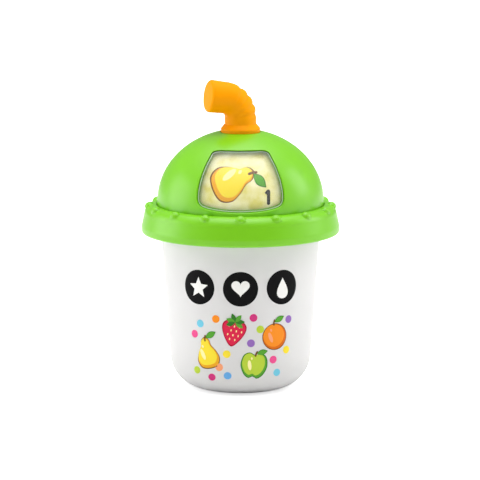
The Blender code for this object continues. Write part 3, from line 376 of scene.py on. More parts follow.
def inset(outline, by):
    """A closed outline moved inwards (or outwards, if negative) along its own normals."""
    ahead = np.roll(outline, -1, axis=0)
    turning = np.sum(outline[:, 0] * ahead[:, 1] - outline[:, 1] * ahead[:, 0])
    inward = left_of(unit(ahead - np.roll(outline, 1, axis=0))) * np.sign(turning)
    return outline + inward * by


def plate_points(outline, rows, onto):
    """Rows of (share from middle to rim, inset, depth) laid on a surface by onto(flat, depth)."""
    middle = (outline.min(0) + outline.max(0)) / 2
    return np.stack([onto(middle + (inset(outline, by) - middle) * share, depth)
                     for share, by, depth in rows])


def plate_rows(face, back, edge, fill):
    """Rows of a closed plate: its face, a quarter round of some radius, its side and its back."""
    shares = [(share, edge, face) for share in np.linspace(0, 1, fill + 1)]
    bend = [(1.0, edge * (1 - math.sin(a)), face + edge * (1 - math.cos(a)))
            for a in np.radians((22.5, 45, 67.5, 90))]
    return shares + bend + [(share, 0.0, back) for share in np.linspace(1, 0, fill + 1)]


def spline(sides, per_run):
    """Smooth runs between flat points: each is the cubic whose slopes come from its neighbours.

    The four sides are the points before, at the start, at the end and after each run."""
    a, b, c, d = (side[:, None] for side in sides)
    t = (np.arange(per_run) / per_run)[None, :, None]
    return (0.5 * (2 * b + (c - a) * t + (2 * a - 5 * b + 4 * c - d) * t ** 2
                   + (3 * b - a - 3 * c + d) * t ** 3)).reshape(-1, 2)


def symmetric(right, per_run=6):
    """A smooth closed outline from its right half, which starts and ends on the middle line."""
    right = np.asarray(right, float)
    whole = np.vstack([right, right[-2:0:-1] * (-1, 1)])
    return spline([np.roll(whole, shift, axis=0) for shift in (1, 0, -1, -2)], per_run)


def box_outline(low, high, corner, steps=6):
    """A closed rectangle with round corners between two flat corners."""
    (x0, y0), (x1, y1) = low, high
    path = rounded([(x0, y0, corner), (x1, y0, corner), (x1, y1, corner), (x0, y1, corner)],
                   closed=True, steps=steps)
    return supported(np.vstack([path, path[:1]]), near=corner)[:-1]


# %% [markdown]
# ## Solid helpers
# Round rods, the straw and its spring are circles strung on a line. A rounded bar serves as
# a hook or as a cutter. The cuts are one exact Boolean each: all cutters of a kind are
# joined, so that the round shell is worked through only once.


# %% Rods, bars and cuts
def hoops(centres, radius, first, second, columns):
    """Circles round the points of a line: centre + radius * (cos t * first + sin t * second)."""
    t = round_angles(columns)[:, None]
    return centres[:, None] + radius * (np.cos(t) * first + np.sin(t) * second)


def rod_grid(start, end, radius, columns, bevel=0.0):
    """A closed round rod between two places; a bevel widens its far end like a countersink."""
    start, end = np.array(start, float), np.array(end, float)
    heading, length = unit(end - start), np.linalg.norm(end - start)
    side = unit(np.cross(heading, [0.3, 0.2, 0.9]))
    along, wide = np.array([(0, 0), (0, radius), (length - bevel, radius),
                            (length, radius + bevel), (length, 0)]).T[..., None]
    return hoops(start + heading * along, wide[..., None], side, np.cross(heading, side), columns)


def bar_grid(low, high, round_by):
    """A closed bar between two corners, rounded along its Y edges."""
    flat = box_outline((low[0], low[2]), (high[0], high[2]), round_by)
    middle = flat.mean(0)
    return np.stack([np.insert(middle + (flat - middle) * share, 1, y, axis=1)
                     for share, y in ((0, low[1]), (1, low[1]), (1, high[1]), (0, high[1]))])


def in_frame(points, matrix):
    """Points taken from a frame of their own into the toy's."""
    turn = np.array(matrix)
    return points @ turn[:3, :3].T + turn[:3, 3]


def combine(target, helper, operation):
    """Apply one exact Boolean to a piece and remove the helper."""
    step = target.modifiers.new(helper.name, "BOOLEAN")
    step.object, step.operation, step.solver = helper, operation, "EXACT"
    ready = target.evaluated_get(bpy.context.evaluated_depsgraph_get())
    mesh = bpy.data.meshes.new_from_object(ready)
    target.modifiers.clear()
    target.data = mesh
    bpy.data.objects.remove(helper, do_unlink=True)
    shade(mesh)


# %% [markdown]
# ## Finishes
# Moulded toys are never one flat colour: the plastic drifts a little in tone, its skin has a
# fine grain from the spark-eroded mould, and handled areas are a little smoother. These
# three effects are node groups that every material shares, with its own values.


# %% Shared effects
def effect_group(name, **inputs):
    """A new node group with its inputs and their values; gives it and what comes in."""
    group = bpy.data.node_groups.new(name, "ShaderNodeTree")
    for title, value in inputs.items():
        kind = "NodeSocketColor" if isinstance(value, tuple) else "NodeSocketFloat"
        group.interface.new_socket(title, in_out="INPUT", socket_type=kind).default_value = value
    return group, group.nodes.new("NodeGroupInput").outputs


def put_out(group, title, kind, socket):
    """Gives a group its one output, and gives the group back."""
    group.interface.new_socket(title, in_out="OUTPUT", socket_type="NodeSocket" + kind)
    group.links.new(socket, group.nodes.new("NodeGroupOutput").inputs[title])
    return group


def noise_in(group, scale, detail):
    """Noise over Object coordinates, whose scale comes from a socket."""
    place = add_node(group, "TexCoord").outputs["Object"]
    return add_node(group, "TexNoise", {"Vector": place, "Scale": scale, "Detail": detail}).outputs["Fac"]


def make_grain():
    """Moulded grain: fine noise drives a bump, so the skin breaks highlights up softly."""
    group, given = effect_group("moulded grain", Scale=2200.0, Strength=0.08)
    bump = add_node(group, "Bump", {"Distance": 0.05 * mm, "Strength": given["Strength"],
                                    "Height": noise_in(group, given["Scale"], 3.0)})
    return put_out(group, "Normal", "Vector", bump.outputs["Normal"])


def make_drift():
    """Colour drift: slow noise, spread over its full range, mixes a light and a dark colour."""
    group, given = effect_group("colour drift", Light=(1, 1, 1, 1), Dark=(0, 0, 0, 1), Scale=40.0)
    spread = add_node(group, "MapRange", {"Value": noise_in(group, given["Scale"], 2.0),
                                          "From Min": 0.34, "From Max": 0.66})
    blend = add_node(group, "Mix", {"Factor": spread.outputs["Result"], "A": given["Light"],
                                    "B": given["Dark"]}, data_type="RGBA")
    return put_out(group, "Color", "Color", blend.outputs["Result"])


def make_handling():
    """Handling: blotchy noise moves the roughness between a polished and a dull value."""
    group, given = effect_group("handling", Polished=0.25, Dull=0.4, Scale=90.0)
    spread = add_node(group, "MapRange", {
        "Value": noise_in(group, given["Scale"], 4.0), "From Min": 0.3, "From Max": 0.7,
        "To Min": given["Polished"], "To Max": given["Dull"]})
    return put_out(group, "Roughness", "Float", spread.outputs["Result"])


grain_group, drift_group, handling_group = make_grain(), make_drift(), make_handling()
print("effects", [g.name for g in bpy.data.node_groups])


# %% [markdown]
# ## One way to write a material
# A finish is a Principled shader with its constants on its own sockets, fed by the shared
# effects. The lighter and darker tone are worked out from one written colour.


# %% Material maker
wear = 0.03


def new_material(name):
    """A new material, its node tree and its Principled shader."""
    made = bpy.data.materials.new(name)
    made.use_nodes = True
    return made, made.node_tree, made.node_tree.nodes["Principled BSDF"]


def effect(tree, group, **values):
    """The output of an effect group placed in a material, with its own values."""
    return add_node(tree, "Group", values, node_tree=group).outputs[0]


def linear(red, green, blue):
    """A colour picked as 0 to 255 on screen, as the linear light values that shaders use."""
    share = np.array([red, green, blue]) / 255.0
    light = np.where(share <= 0.04045, share / 12.92, ((share + 0.055) / 1.055) ** 2.4)
    return tuple(light.tolist())


def finish(name, colour, roughness, drift=0.05, drift_scale=40.0, grain=0.06, grain_scale=2200.0,
           cloud=None, **constants):
    """A moulded or metal finish that drifts around its colour, or from it to a cloud's colour.

    The constants are set on the shader's own sockets."""
    made, tree, shader = new_material(name)
    light = [min(1.0, c * (1 + drift)) for c in colour]
    dark = cloud or [c * (1 - drift) for c in colour]
    feed(tree, shader, {
        "Base Color": effect(tree, drift_group, Light=(*light, 1), Dark=(*dark, 1), Scale=drift_scale),
        "Roughness": effect(tree, handling_group, Polished=roughness * (1 - wear),
                            Dull=roughness * (1 + wear)),
        "Normal": effect(tree, grain_group, Scale=grain_scale, Strength=grain)})
    feed(tree, shader, {title.replace("_", " "): value for title, value in constants.items()})
    return made


def dress(made, surface_finish, body, node):
    """Give a new piece its material and its body, and hide the imported piece that it replaces."""
    made.data.materials.clear()
    made.data.materials.append(surface_finish)
    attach(made, body)
    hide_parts(node)
    print("%s: %d faces on %s" % (made.name, len(made.data.polygons), body))


milky = finish("milky plastic", (0.72, 0.72, 0.725), 0.34, drift=0.012, grain=0.05,
               Subsurface_Weight=0.25, Subsurface_Scale=2.0 * mm,
               Subsurface_Radius=(1.0, 0.95, 0.9))
green = finish("green plastic", (0.185, 0.575, 0.005), 0.31, drift=0.01, grain=0.02)
orange = finish("orange plastic", (0.97, 0.345, 0.0003), 0.42, drift=0.02, grain=0.06,
                Specular_IOR_Level=0.06)
cream = finish("cream plastic", linear(250, 246, 206), 0.45, drift=0.02, drift_scale=110.0,
               grain=0.04, cloud=linear(226, 218, 118))

# %% [markdown]
# ## Cup
# The real cup is one thin injection moulding: a flat base with a recessed speaker grille, a
# big corner radius, and a wall that flares to the rim. It is a turned profile with a straight
# wall that touches the corner's arc, an inner wall and a floor with the speaker's seat.

# %% Cup profile
cup_base_radius, cup_corner_radius = 21.0, 20.0
cup_wall, cup_rim_wall, cup_rim_depth = 2.2, 1.2, 3.0
recess_radius, recess_depth = 16.0, 0.6
speaker_bore, speaker_seat, speaker_seat_height = 14.8, 16.6, 4.0

corner = (cup_base_radius, cup_corner_radius)
to_rim = np.array([cup_top_radius, cup_height]) - corner
wall_turn_deg = math.degrees(math.atan2(to_rim[1], to_rim[0])
                             - math.acos(cup_corner_radius / np.linalg.norm(to_rim)))
wall_foot = arc(corner, cup_corner_radius, wall_turn_deg, wall_turn_deg, 0)[0]
wall_slope = (cup_top_radius - wall_foot[0]) / (cup_height - wall_foot[1])


def cup_radius(height):
    """Outer radius of the cup's straight wall at a height."""
    return wall_foot[0] + wall_slope * (height - wall_foot[1])


def wall_run(low, high, depth, steps):
    """Corners on the cup's wall, moved inwards by a depth, between two heights."""
    height = np.linspace(low, high, steps + 1)
    return points_of(cup_radius(height) - depth, height, 0)


ledge = cup_height - cup_rim_depth
print("wall foot", wall_foot.round(2), "slope %.4f" % wall_slope, "ledge", ledge)

# %% Cup shell
run_margin = 3
seat_top = cup_wall + speaker_seat_height
cup_corners = np.vstack([
    [(0, recess_depth, 0), (recess_radius, recess_depth, 0.15), (recess_radius, 0, 0.25)],
    arc(corner, cup_corner_radius, -90, wall_turn_deg, 20),
    wall_run(wall_foot[1] + run_margin, cup_height - run_margin, 0, 24),
    [(cup_top_radius, cup_height, 0.5), (cup_top_radius - cup_rim_wall, cup_height, 0.3),
     (cup_radius(ledge) - cup_rim_wall, ledge, 0.15), (cup_radius(ledge) - cup_wall, ledge, 0.3)],
    wall_run(wall_foot[1] + run_margin, ledge - run_margin, cup_wall, 22)[::-1],
    arc(corner, cup_corner_radius - cup_wall, wall_turn_deg, -90, 12),
    [(speaker_seat, cup_wall, 0.3), (speaker_seat, seat_top, 0.3), (speaker_bore, seat_top, 0.3),
     (speaker_bore, cup_wall, 0.2), (0, cup_wall, 0)]])
cup = surface("cup", turned(rounded(cup_corners, steps=4)))

# %% [markdown]
# The openings are cut afterwards: the battery door's opening with round corners, a slot for
# the volume knob, two sunk screws and the rings of grille holes. The screws sit in wells
# that are joined to the wall first. The knob's slot lies in a frame of its own, turned
# round the cup and leaned with its wall.

# %% Openings in the cup
door_half, door_low, door_high = door_box[1][0], 20.9, door_box[1][2]
seam, door_corner = 0.3, 2.4
grille_pitch, grille_hole = 4.2, 0.9
screw_head, screw_hole, pilot, well_wall = 1.6, 2.8, 1.55, 1.2
switch_turn_deg, switch_level = 50.0, 52.0
knob_half, knob_half_height, knob_travel, slot_half = 1.8, 2.2, 6.0, 2.1
switch_frame = (Matrix.Rotation(math.radians(switch_turn_deg), 4, "Z")
                @ Matrix.Translation((0, cup_radius(switch_level), switch_level))
                @ Matrix.Rotation(-math.atan(wall_slope), 4, "X"))


def onto_back(flat, depth):
    """Lays flat (x, z) points on the back of the cup: y = sqrt((wall radius - depth)^2 - x^2)."""
    x, z = flat.T
    return points_of(x, np.sqrt((cup_radius(z) - depth) ** 2 - x ** 2), z)


wells, holes = [], []
for number in (1, 2):
    low, high = box_of("case_screw_%d" % number)
    x, _, z = (low + high) / 2
    seat = high[1] - screw_head - seam
    face = math.sqrt(cup_radius(z) ** 2 - x ** 2)
    wells.append(rod_grid((x, seat - 2.5, z), (x, face - 1.1, z), screw_hole + well_wall, 48))
    holes.append(rod_grid((x, seat, z), (x, face + 5, z), screw_hole, 48))
    holes.append(rod_grid((x, seat - 6, z), (x, seat + 1, z), pilot, 24))
combine(cup, joined("screw_wells", wells), "UNION")

grille = [(0.0, 0.0)]
for rank in (1, 2):
    angle = round_angles(6 * rank)
    grille += zip(rank * grille_pitch * np.cos(angle), rank * grille_pitch * np.sin(angle))
holes += [rod_grid((x, y, -1), (x, y, cup_wall + 1), grille_hole, 20) for x, y in grille]
slot = bar_grid((-slot_half, -5, -knob_half_height - seam),
                (slot_half, 5, knob_half_height + seam + knob_travel), 0.9)
opening = box_outline((-door_half - seam, door_low - seam), (door_half + seam, door_high + seam),
                      door_corner + seam)
holes += [in_frame(slot, switch_frame),
          plate_points(opening, [(0, 0, -3), (1, 0, -3), (1, 0, 6), (0, 0, 6)], onto_back)]
combine(cup, joined("cup_cuts", holes), "DIFFERENCE")
dress(cup, milky, "case", "cup_shell")

# %% [markdown]
# ## Battery door
# A curved panel that continues the cup's wall, with a rounded edge, a sunk screw at its top
# and three raised grip bars under the screw. Two hooks reach behind the cup's wall below.

# %% Battery door
hook_near, hook_far, hook_thick = 5.0, 9.0, 1.5
grip_drop, grip_pitch, grip_half, grip_rise = 9.0, 2.8, (7.0, 0.75), 0.45

door_outline = box_outline((-door_half, door_low), (door_half, door_high), door_corner, steps=10)
door = surface("door", plate_points(door_outline, plate_rows(0, cup_wall, 0.45, 10), onto_back))
low, high = box_of("door_screw")
screw_z = (low[2] + high[2]) / 2
screw_seat = high[1] - screw_head - seam
face = cup_radius(screw_z)
inner_face = face - cup_wall
additions = [rod_grid((0, inner_face - 3.2, screw_z), (0, inner_face + 1.1, screw_z), 3.6, 48)]
hook_back = cup_radius(door_low - 3.5) - cup_wall - 1.6
for side in (-1, 1):
    left, right = sorted((side * hook_near, side * hook_far))
    additions.append(bar_grid((left, hook_back - hook_thick, door_low + seam),
                              (right, cup_radius(door_low) - 1.6, door_low + 1.8), 0.4))
    additions.append(bar_grid((left, hook_back - hook_thick, door_box[0][2]),
                              (right, hook_back, door_low + 1.5), 0.4))
for number in range(3):
    middle = np.array((0, screw_z - grip_drop - grip_pitch * number))
    grip_bar = box_outline(middle - grip_half, middle + grip_half, 0.7)
    additions.append(plate_points(grip_bar, plate_rows(-grip_rise, 1.0, 0.35, 6), onto_back))
combine(door, joined("door_additions", additions), "UNION")
combine(door, joined("door_cuts", [
    rod_grid((0, screw_seat, screw_z), (0, face + 0.4, screw_z), screw_hole, 48, bevel=0.7),
    rod_grid((0, inner_face - 6, screw_z), (0, screw_seat + 1, screw_z), pilot, 24)]), "DIFFERENCE")
dress(door, milky, "case", "battery_door")

# %% [markdown]
# ## Volume knob
# A small ribbed slider. It is a plate in the slot's own frame, whose face carries grip
# ribs: the depth of its face follows a raised cosine along its height.

# %% Volume knob
knob_proud, knob_rib, rib_pitch, rib_fade = 1.4, 0.35, 1.25, 0.6
knob_base_low, knob_base_high, knob_base_half = -3.7, -2.5, 3.2


def onto_knob(flat, depth):
    """Puts flat (x, z) points of the knob at a depth below its crest, in the slot's frame."""
    ribs = knob_rib * 0.5 * (1 - np.cos(2 * np.pi * flat[:, 1] / rib_pitch))
    near_face = np.clip(1 - depth / rib_fade, 0, 1)
    local = points_of(flat[:, 0], knob_proud - depth - ribs * near_face, flat[:, 1])
    return in_frame(local, switch_frame)


knob_outline = box_outline((-knob_half, -knob_half_height), (knob_half, knob_half_height), 0.5, 8)
knob_outline = supported(np.vstack([knob_outline, knob_outline[:1]]), near=0.12)[:-1]
knob_rows = plate_rows(0, knob_proud - knob_base_low, 0.3, 16)
knob_base = bar_grid((-knob_base_half, knob_base_low, -2.5), (knob_base_half, knob_base_high, 2.5), 0.5)
knob = joined("knob", [plate_points(knob_outline, knob_rows, onto_knob),
                       in_frame(knob_base, switch_frame)])
dress(knob, orange, "knob", "volume_knob")

# %% [markdown]
# ## Grip ring
# The ring turns the picture drum. Its skirt is nearly upright, its shoulder is a generous
# round, and sixteen thumb bumps sit on that round. The bumps are a height field: at a
# distance s along the profile and a turn t around, the surface moves out by
# rise * (1 - ((s - middle) / half length)^2 - ((t - centre) / half width)^2) ^ power.
# The bore of its web has round notches, one for each click of the dial.

# %% Ring profile
ring_top, ring_wall = 107.8, 2.2
ring_lean, shoulder_round, foot_round = 1.5, 6.0, 1.6
web_low, web_high, web_bore = 95.4, 97.4, 39.0
hub_bore, hub_low = cup_top_radius + 0.7, web_low - 4
inner_bore = dome_radius + 0.4
skirt_bore = ring_radius - ring_lean - ring_wall
ring_corners = np.vstack([
    [(inner_bore, ring_top - 6, 0), (inner_bore, ring_top, 0.5)],
    arc((ring_radius - ring_lean - shoulder_round, ring_top - shoulder_round), shoulder_round,
        90, 5, 28),
    [(ring_radius, ring_bottom + 4.2, 6.0), (ring_radius, ring_bottom, foot_round),
     (skirt_bore, ring_bottom, 0.4), (skirt_bore, ring_top - 2 * ring_wall, 1.2),
     (skirt_bore - ring_wall, ring_top - ring_wall, 1.2),
     (inner_bore + ring_wall, ring_top - ring_wall, 0.8), (inner_bore + ring_wall, web_low, 0.3),
     (hub_bore + ring_wall, web_low, 0.3), (hub_bore + ring_wall, hub_low, 0.3),
     (hub_bore, hub_low, 0.3), (hub_bore, web_low, 0.2), (web_bore, web_low, 0),
     (web_bore, web_high, 0), (inner_bore, web_high, 0.3), (inner_bore, ring_top - 6, 0)]])
ring_path = supported(rounded(ring_corners, steps=5))
grip_end = np.argmax(ring_path[:, 1] < ring_bottom + 1)
ring_path = np.vstack([resampled(ring_path[:grip_end], 0.4), ring_path[grip_end:]])
ring_s = path_length(ring_path)
print("ring path of", len(ring_path), "points,", ring_s[-1].round(1), "mm long")

# %% Bumps and clicks
bump_count, bump_rise, bump_power = 16, 1.8, 0.6
bump_half_width, bump_half_length = 3.1, 2.7
bump_lean_deg, bump_run = 57.0, 30.0
tooth_radius = 1.1
columns_per_bump = 34

ring_columns = bump_count * columns_per_bump
turn = round_angles(ring_columns, -90)
outward = left_of(unit(np.gradient(ring_path, axis=0)))
lean_angle = np.degrees(np.arctan2(outward[:, 1], outward[:, 0]))
past_bumps = ring_s > bump_run
shoulder = np.argmin(np.abs(lean_angle - bump_lean_deg) + 1000 * past_bumps)
to_bump = np.arange(ring_columns) / columns_per_bump
across = (to_bump - np.round(to_bump)) * 2 * np.pi / bump_count * (ring_radius - ring_lean)
s = (ring_s - ring_s[shoulder])[:, None] / bump_half_length
hill = np.clip(1 - s ** 2 - (across / bump_half_width) ** 2, 0, 1) ** bump_power
hill[past_bumps] = 0
radius, height = np.moveaxis(ring_path[:, None] + outward[:, None] * bump_rise * hill[..., None], 2, 0)
at_bore = np.abs(ring_path[:, 0] - web_bore) < 0.01
notch = np.sqrt(np.clip(tooth_radius ** 2 - (across * web_bore / ring_radius) ** 2, 0, None))
radius = radius + at_bore[:, None] * notch
ring = surface("ring", points_of(radius * np.cos(turn), radius * np.sin(turn), height), smooth_deg=40)
dress(ring, green, "dial", "dial_ring")
print("bumps at radius and height", ring_path[shoulder].round(1))

# %% [markdown]
# ## Lid
# The lid is half an ellipsoid on a straight rim, with a tube inside for the straw and three
# screw bosses. The window's lip is rounded: the cutter is a plate whose rim flares like a
# trumpet where it leaves the lid, and steps in at the depth of the lens's ledge.

# %% Lid
dome_base, dome_rise, dome_rim, dome_wall = 110.0, 41.4, 104.2, 2.4
straw_hole, tube_bore, tube_outer, tube_low = 11.8, 14.2, 16.4, 107.4
boss_reach, boss_radius, boss_low, boss_high = 19.5, 3.6, 94.8, tube_low + 8.4
crown = dome_base + dome_rise


def dome_height(radius, depth):
    """Height of the lid's surface, moved inwards by a depth, over a radius."""
    share = radius / (dome_radius - depth)
    return dome_base + (dome_rise - depth) * np.sqrt(np.clip(1 - share ** 2, 0, None))


def dome_run(depth, to_radius, steps):
    """Corners up the lid's surface, moved inwards by a depth, from its base to a radius."""
    across, rise = dome_radius - depth, dome_rise - depth
    angle = np.linspace(0, math.acos(to_radius / across), steps + 1)
    return points_of(across * np.cos(angle), dome_base + rise * np.sin(angle), 0)


def onto_dome(flat, depth):
    """Lays flat (x, z) points on the front of the lid, moved inwards by a depth."""
    x, z = flat.T
    share = np.clip((z - dome_base) / (dome_rise - depth), 0, 0.999)
    radius = (dome_radius - depth) * np.sqrt(1 - share ** 2)
    return points_of(x, -np.sqrt(np.clip(radius ** 2 - x ** 2, 0, None)), z)


tube_top = dome_height(tube_bore, dome_wall)
dome_corners = np.vstack([
    [(dome_radius - dome_wall, dome_rim, 0.4), (dome_radius, dome_rim, 0.6)],
    dome_run(0, straw_hole, 56)[:-1],
    [(straw_hole, dome_height(straw_hole, 0), 0.5), (straw_hole, tube_top, 0.2),
     (tube_bore, tube_top, 0), (tube_bore, tube_low, 0.3),
     (tube_outer, tube_low, 0.3), (tube_outer, dome_height(tube_outer, dome_wall), 0.3)],
    dome_run(dome_wall, tube_outer, 40)[-2::-1]])
dome = surface("lid", turned(rounded(np.vstack([dome_corners[-1:], dome_corners]), steps=5), 256))
boss_places = [(boss_reach * math.cos(a), boss_reach * math.sin(a)) for a in round_angles(3, 90)]
combine(dome, joined("lid_bosses", [rod_grid((x, y, boss_low), (x, y, boss_high), boss_radius, 40)
                                    for x, y in boss_places]), "UNION")
print("lid crown at", crown)

# %% Window
window_half, window_low, window_height = 24.8, 109.6, 33.2
lip_round, lens_ledge_depth, lens_ledge_step = 0.55, 1.9, 1.6
window_shares = np.array([
    (0, 1), (0.27, 1), (0.50, 0.995), (0.64, 0.965), (0.715, 0.89), (0.845, 0.71),
    (0.95, 0.49), (1, 0.26), (0.965, 0.13), (0.835, 0.062), (0.55, 0.022), (0.28, 0.006),
    (0, 0)])
window = symmetric(window_shares * (window_half, window_height) + (0, window_low), 8)

flare_turns = np.radians((25, 40, 55, 70, 90))
flare = [(1, -lip_round * (1 - math.sin(a)), lip_round * (1 - math.cos(a))) for a in flare_turns]
slope = (1, flare[0][1] - 1.6, flare[0][2] - 1.6 * math.tan(flare_turns[0]))
step_in = [(1, 0, lens_ledge_depth), (1, lens_ledge_step, lens_ledge_depth), (1, lens_ledge_step, 5),
           (0, lens_ledge_step, 5)]
cutter_rows = [(share, slope[1], -4) for share in (0, 0.35, 0.7, 1)] + [slope] + flare + step_in
combine(dome, surface("window_cut", plate_points(window, cutter_rows, onto_dome)), "DIFFERENCE")
dress(dome, green, "case", "dome")

# %% [markdown]
# ## Lens
# A clear pane lies on the ledge inside the window, sunk a little below the lid. A pale frosted band
# along its rounded rim is a painted highlight of the edge, and the pane darkens towards the rim,
# painted shade of the window's walls on the drum behind. Both follow the attribute named reach,
# which runs from zero in the middle to one at the rim.

# %% Lens
lens_sink, lens_gap, lens_back, lens_edge = 0.95, 0.5, 1.6, 0.35
# The frosted band is a painted highlight: a pale sheet along the rim that stands in for the light on the
# lens's rounded edge.
rim_width, painted_highlight_from, painted_highlight_share = 6.0, 0.92, 0.7
# The smoky tone is painted shade: the shadow of the window's walls on the drum behind, laid into the pane
# towards its rim.
clear_tone, painted_rim_shade_tone, painted_rim_highlight_tone = (0.98, 0.985, 0.97, 1), (0.60, 0.62, 0.54, 1), (0.82, 0.88, 0.78, 1)

lens_outline = inset(window, lens_gap)
lens_rows = plate_rows(lens_sink, lens_back, lens_edge, 26)
lens = surface("lens", plate_points(lens_outline, lens_rows, onto_dome), smooth_deg=50)
flat_points = np.empty(3 * len(lens.data.vertices))
lens.data.vertices.foreach_get("co", flat_points)
flat_points = flat_points.reshape(-1, 3)[:, [0, 2]] / mm
to_edge = np.linalg.norm(flat_points[:, None] - lens_outline[None], axis=2).min(1)
reach = lens.data.attributes.new("reach", "FLOAT", "POINT")
reach.data.foreach_set("value", np.clip(1 - to_edge / rim_width, 0, 1))


def painted_rim_shade_and_highlight(tree, shader):
    """Paints shade into clear plastic towards its rim and mixes in a pale frosted line there, a painted
    highlight; gives the mix.
    """
    reach = add_node(tree, "Attribute", attribute_name="reach").outputs["Fac"]
    # Painted shade: the pane darkens towards its rim as if shaded by the window's walls.
    painted_shade_mix = add_node(tree, "Mix", {"Factor": math_node(tree, "POWER", reach, 2.0), "A": clear_tone,
                                   "B": painted_rim_shade_tone}, data_type="RGBA")
    feed(tree, shader, {"Base Color": painted_shade_mix.outputs["Result"]})
    # Painted highlight: a pale frosted sheet mixed in along the rim's outer band.
    painted_highlight_sheet = add_node(tree, "BsdfPrincipled", {"Base Color": painted_rim_highlight_tone, "Roughness": 0.3})
    line = math_node(tree, "MULTIPLY", math_node(tree, "GREATER_THAN", reach, painted_highlight_from), painted_highlight_share)
    return mixed(tree, line, shader.outputs["BSDF"], painted_highlight_sheet.outputs["BSDF"])


def glass(name, tint, roughness, rim=False):
    """Clear plastic that lets shadow rays through, so that the picture behind is lit."""
    made, tree, shader = new_material(name)
    feed(tree, shader, {"Base Color": (*tint, 1), "Roughness": roughness,
                        "Transmission Weight": 1.0, "IOR": 1.49})
    # With rim, shade and a pale highlight band are painted into the pane towards its rim.
    solid = painted_rim_shade_and_highlight(tree, shader) if rim else shader.outputs["BSDF"]
    in_shadow = add_node(tree, "LightPath").outputs["Is Shadow Ray"]
    through = add_node(tree, "BsdfTransparent").outputs["BSDF"]
    feed(tree, tree.nodes["Material Output"], {"Surface": mixed(tree, in_shadow, solid, through)})
    return made


# rim=True paints shade and a pale highlight band into the lens towards its rim.
lens_clear = glass("clear lens", (0.97, 0.98, 0.97), 0.04, rim=True)
dress(lens, lens_clear, "case", "window_lens")

# %% [markdown]
# ## Picture drum
# The drum turns with the ring just under the lid. It follows the lid's inside at a small gap,
# is open at the top for the straw's tube, and is screwed to the ring's web by its foot.

# %% Drum
drum_inset, drum_wall, drum_top_radius = 3.2, 1.6, 19.0
foot_low, foot_high, foot_inner = 97.7, 99.7, 36.1
drum_corners = np.vstack([
    [(foot_inner, foot_high, 0), (foot_inner, foot_low, 0), (drum_radius, foot_low, 0.4)],
    dome_run(drum_inset, drum_top_radius, 40),
    dome_run(drum_inset + drum_wall, drum_top_radius, 32)[::-1],
    [(drum_radius - drum_wall, foot_high, 0.4), (foot_inner, foot_high, 0)]])
drum = surface("drum", turned(rounded(drum_corners, steps=4), 160))
dress(drum, cream, "dial", "picture_drum")

# %% [markdown]
# ## Printed motifs
# Pictures on the cup and on the drum are pad-printed: each colour is a film of ink, and a
# later colour lies on an earlier one. A motif is a list of (ink, outline) films in flat
# millimetres. Every film becomes a closed sheet laid on the round surface, one level above
# the earlier films whose boxes it overlaps, so no two films share a face.

# %% Inks
ink_colours = {
    "black": (7, 7, 9), "white": (246, 246, 244), "grey": (58, 60, 62),
    "red": (222, 40, 78), "dark red": (170, 22, 54), "pink": (240, 88, 150),
    "magenta": (214, 60, 130), "peach": (250, 166, 120), "orange": (248, 146, 40),
    "dark orange": (222, 108, 24), "amber": (240, 172, 44), "yellow": (250, 226, 62),
    "pale yellow": (255, 246, 176), "lime": (190, 216, 70), "leaf": (92, 168, 58),
    "dark leaf": (54, 122, 44), "cyan": (120, 206, 232), "blue": (108, 176, 236),
    "violet": (150, 110, 190), "brown": (120, 76, 36)}
inks = {name: finish("ink " + name, linear(*colour), 0.36, drift=0.015, grain=0.03,
                     Specular_IOR_Level=0.08) for name, colour in ink_colours.items()}
film = 0.035
print(len(inks), "inks, films of", film, "mm")


# %% Flat shapes
def turn_flat(flat, degrees):
    """Flat points turned anticlockwise about zero."""
    cos, sin = math.cos(math.radians(degrees)), math.sin(math.radians(degrees))
    return flat @ np.array([[cos, sin], [-sin, cos]])


def place_flat(points, x, z, size, turn_deg=0.0):
    """A unit shape scaled, turned and moved."""
    return turn_flat(np.asarray(points, float) * size, turn_deg) + (x, z)


def ellipse(x, z, half_width, half_height=None, turn_deg=0.0, count=48):
    """An ellipse, or a circle where one half size is given, turned about its middle."""
    t = round_angles(count)
    half_sizes = (half_width, half_height or half_width)
    return turn_flat(points_of(np.cos(t), np.sin(t)) * half_sizes, turn_deg) + (x, z)


def star(points=5, inner=0.46, count=6):
    """A star of radius one: straight runs between its tips and its notches."""
    angle = round_angles(2 * points, 90)
    radius = np.tile((1.0, inner), points)
    tips = points_of(radius * np.cos(angle), radius * np.sin(angle))[:, None]
    share = (np.arange(count) / count)[None, :, None]
    return (tips * (1 - share) + np.roll(tips, -1, axis=0) * share).reshape(-1, 2)


def heart(count=60):
    """The classic heart curve, x = 16 sin^3 t, z = 13 cos t - 5 cos 2t - 2 cos 3t - cos 4t."""
    t = round_angles(count)
    height = 13 * np.cos(t) - 5 * np.cos(2 * t) - 2 * np.cos(3 * t) - np.cos(4 * t)
    return points_of(16 * np.sin(t) ** 3, height + 2.5) / 17


def drop(count=48):
    """A drop: a circle drawn out to a point at its top, x = 0.85 sin t * sin(t / 2)^1.5."""
    t = round_angles(count, 180 / count)
    return points_of(0.85 * np.sin(t) * np.sin(t / 2) ** 1.5, np.cos(t))


def leaf_outline(count=24):
    """A leaf along x from zero to one, whose half width is 0.24 sin(pi x)."""
    x = np.r_[np.linspace(0, 1, count), np.linspace(1, 0, count)[1:-1]]
    sign = np.repeat((1, -1), (count, count - 2))
    return points_of(x, 0.24 * sign * np.sin(np.pi * x))


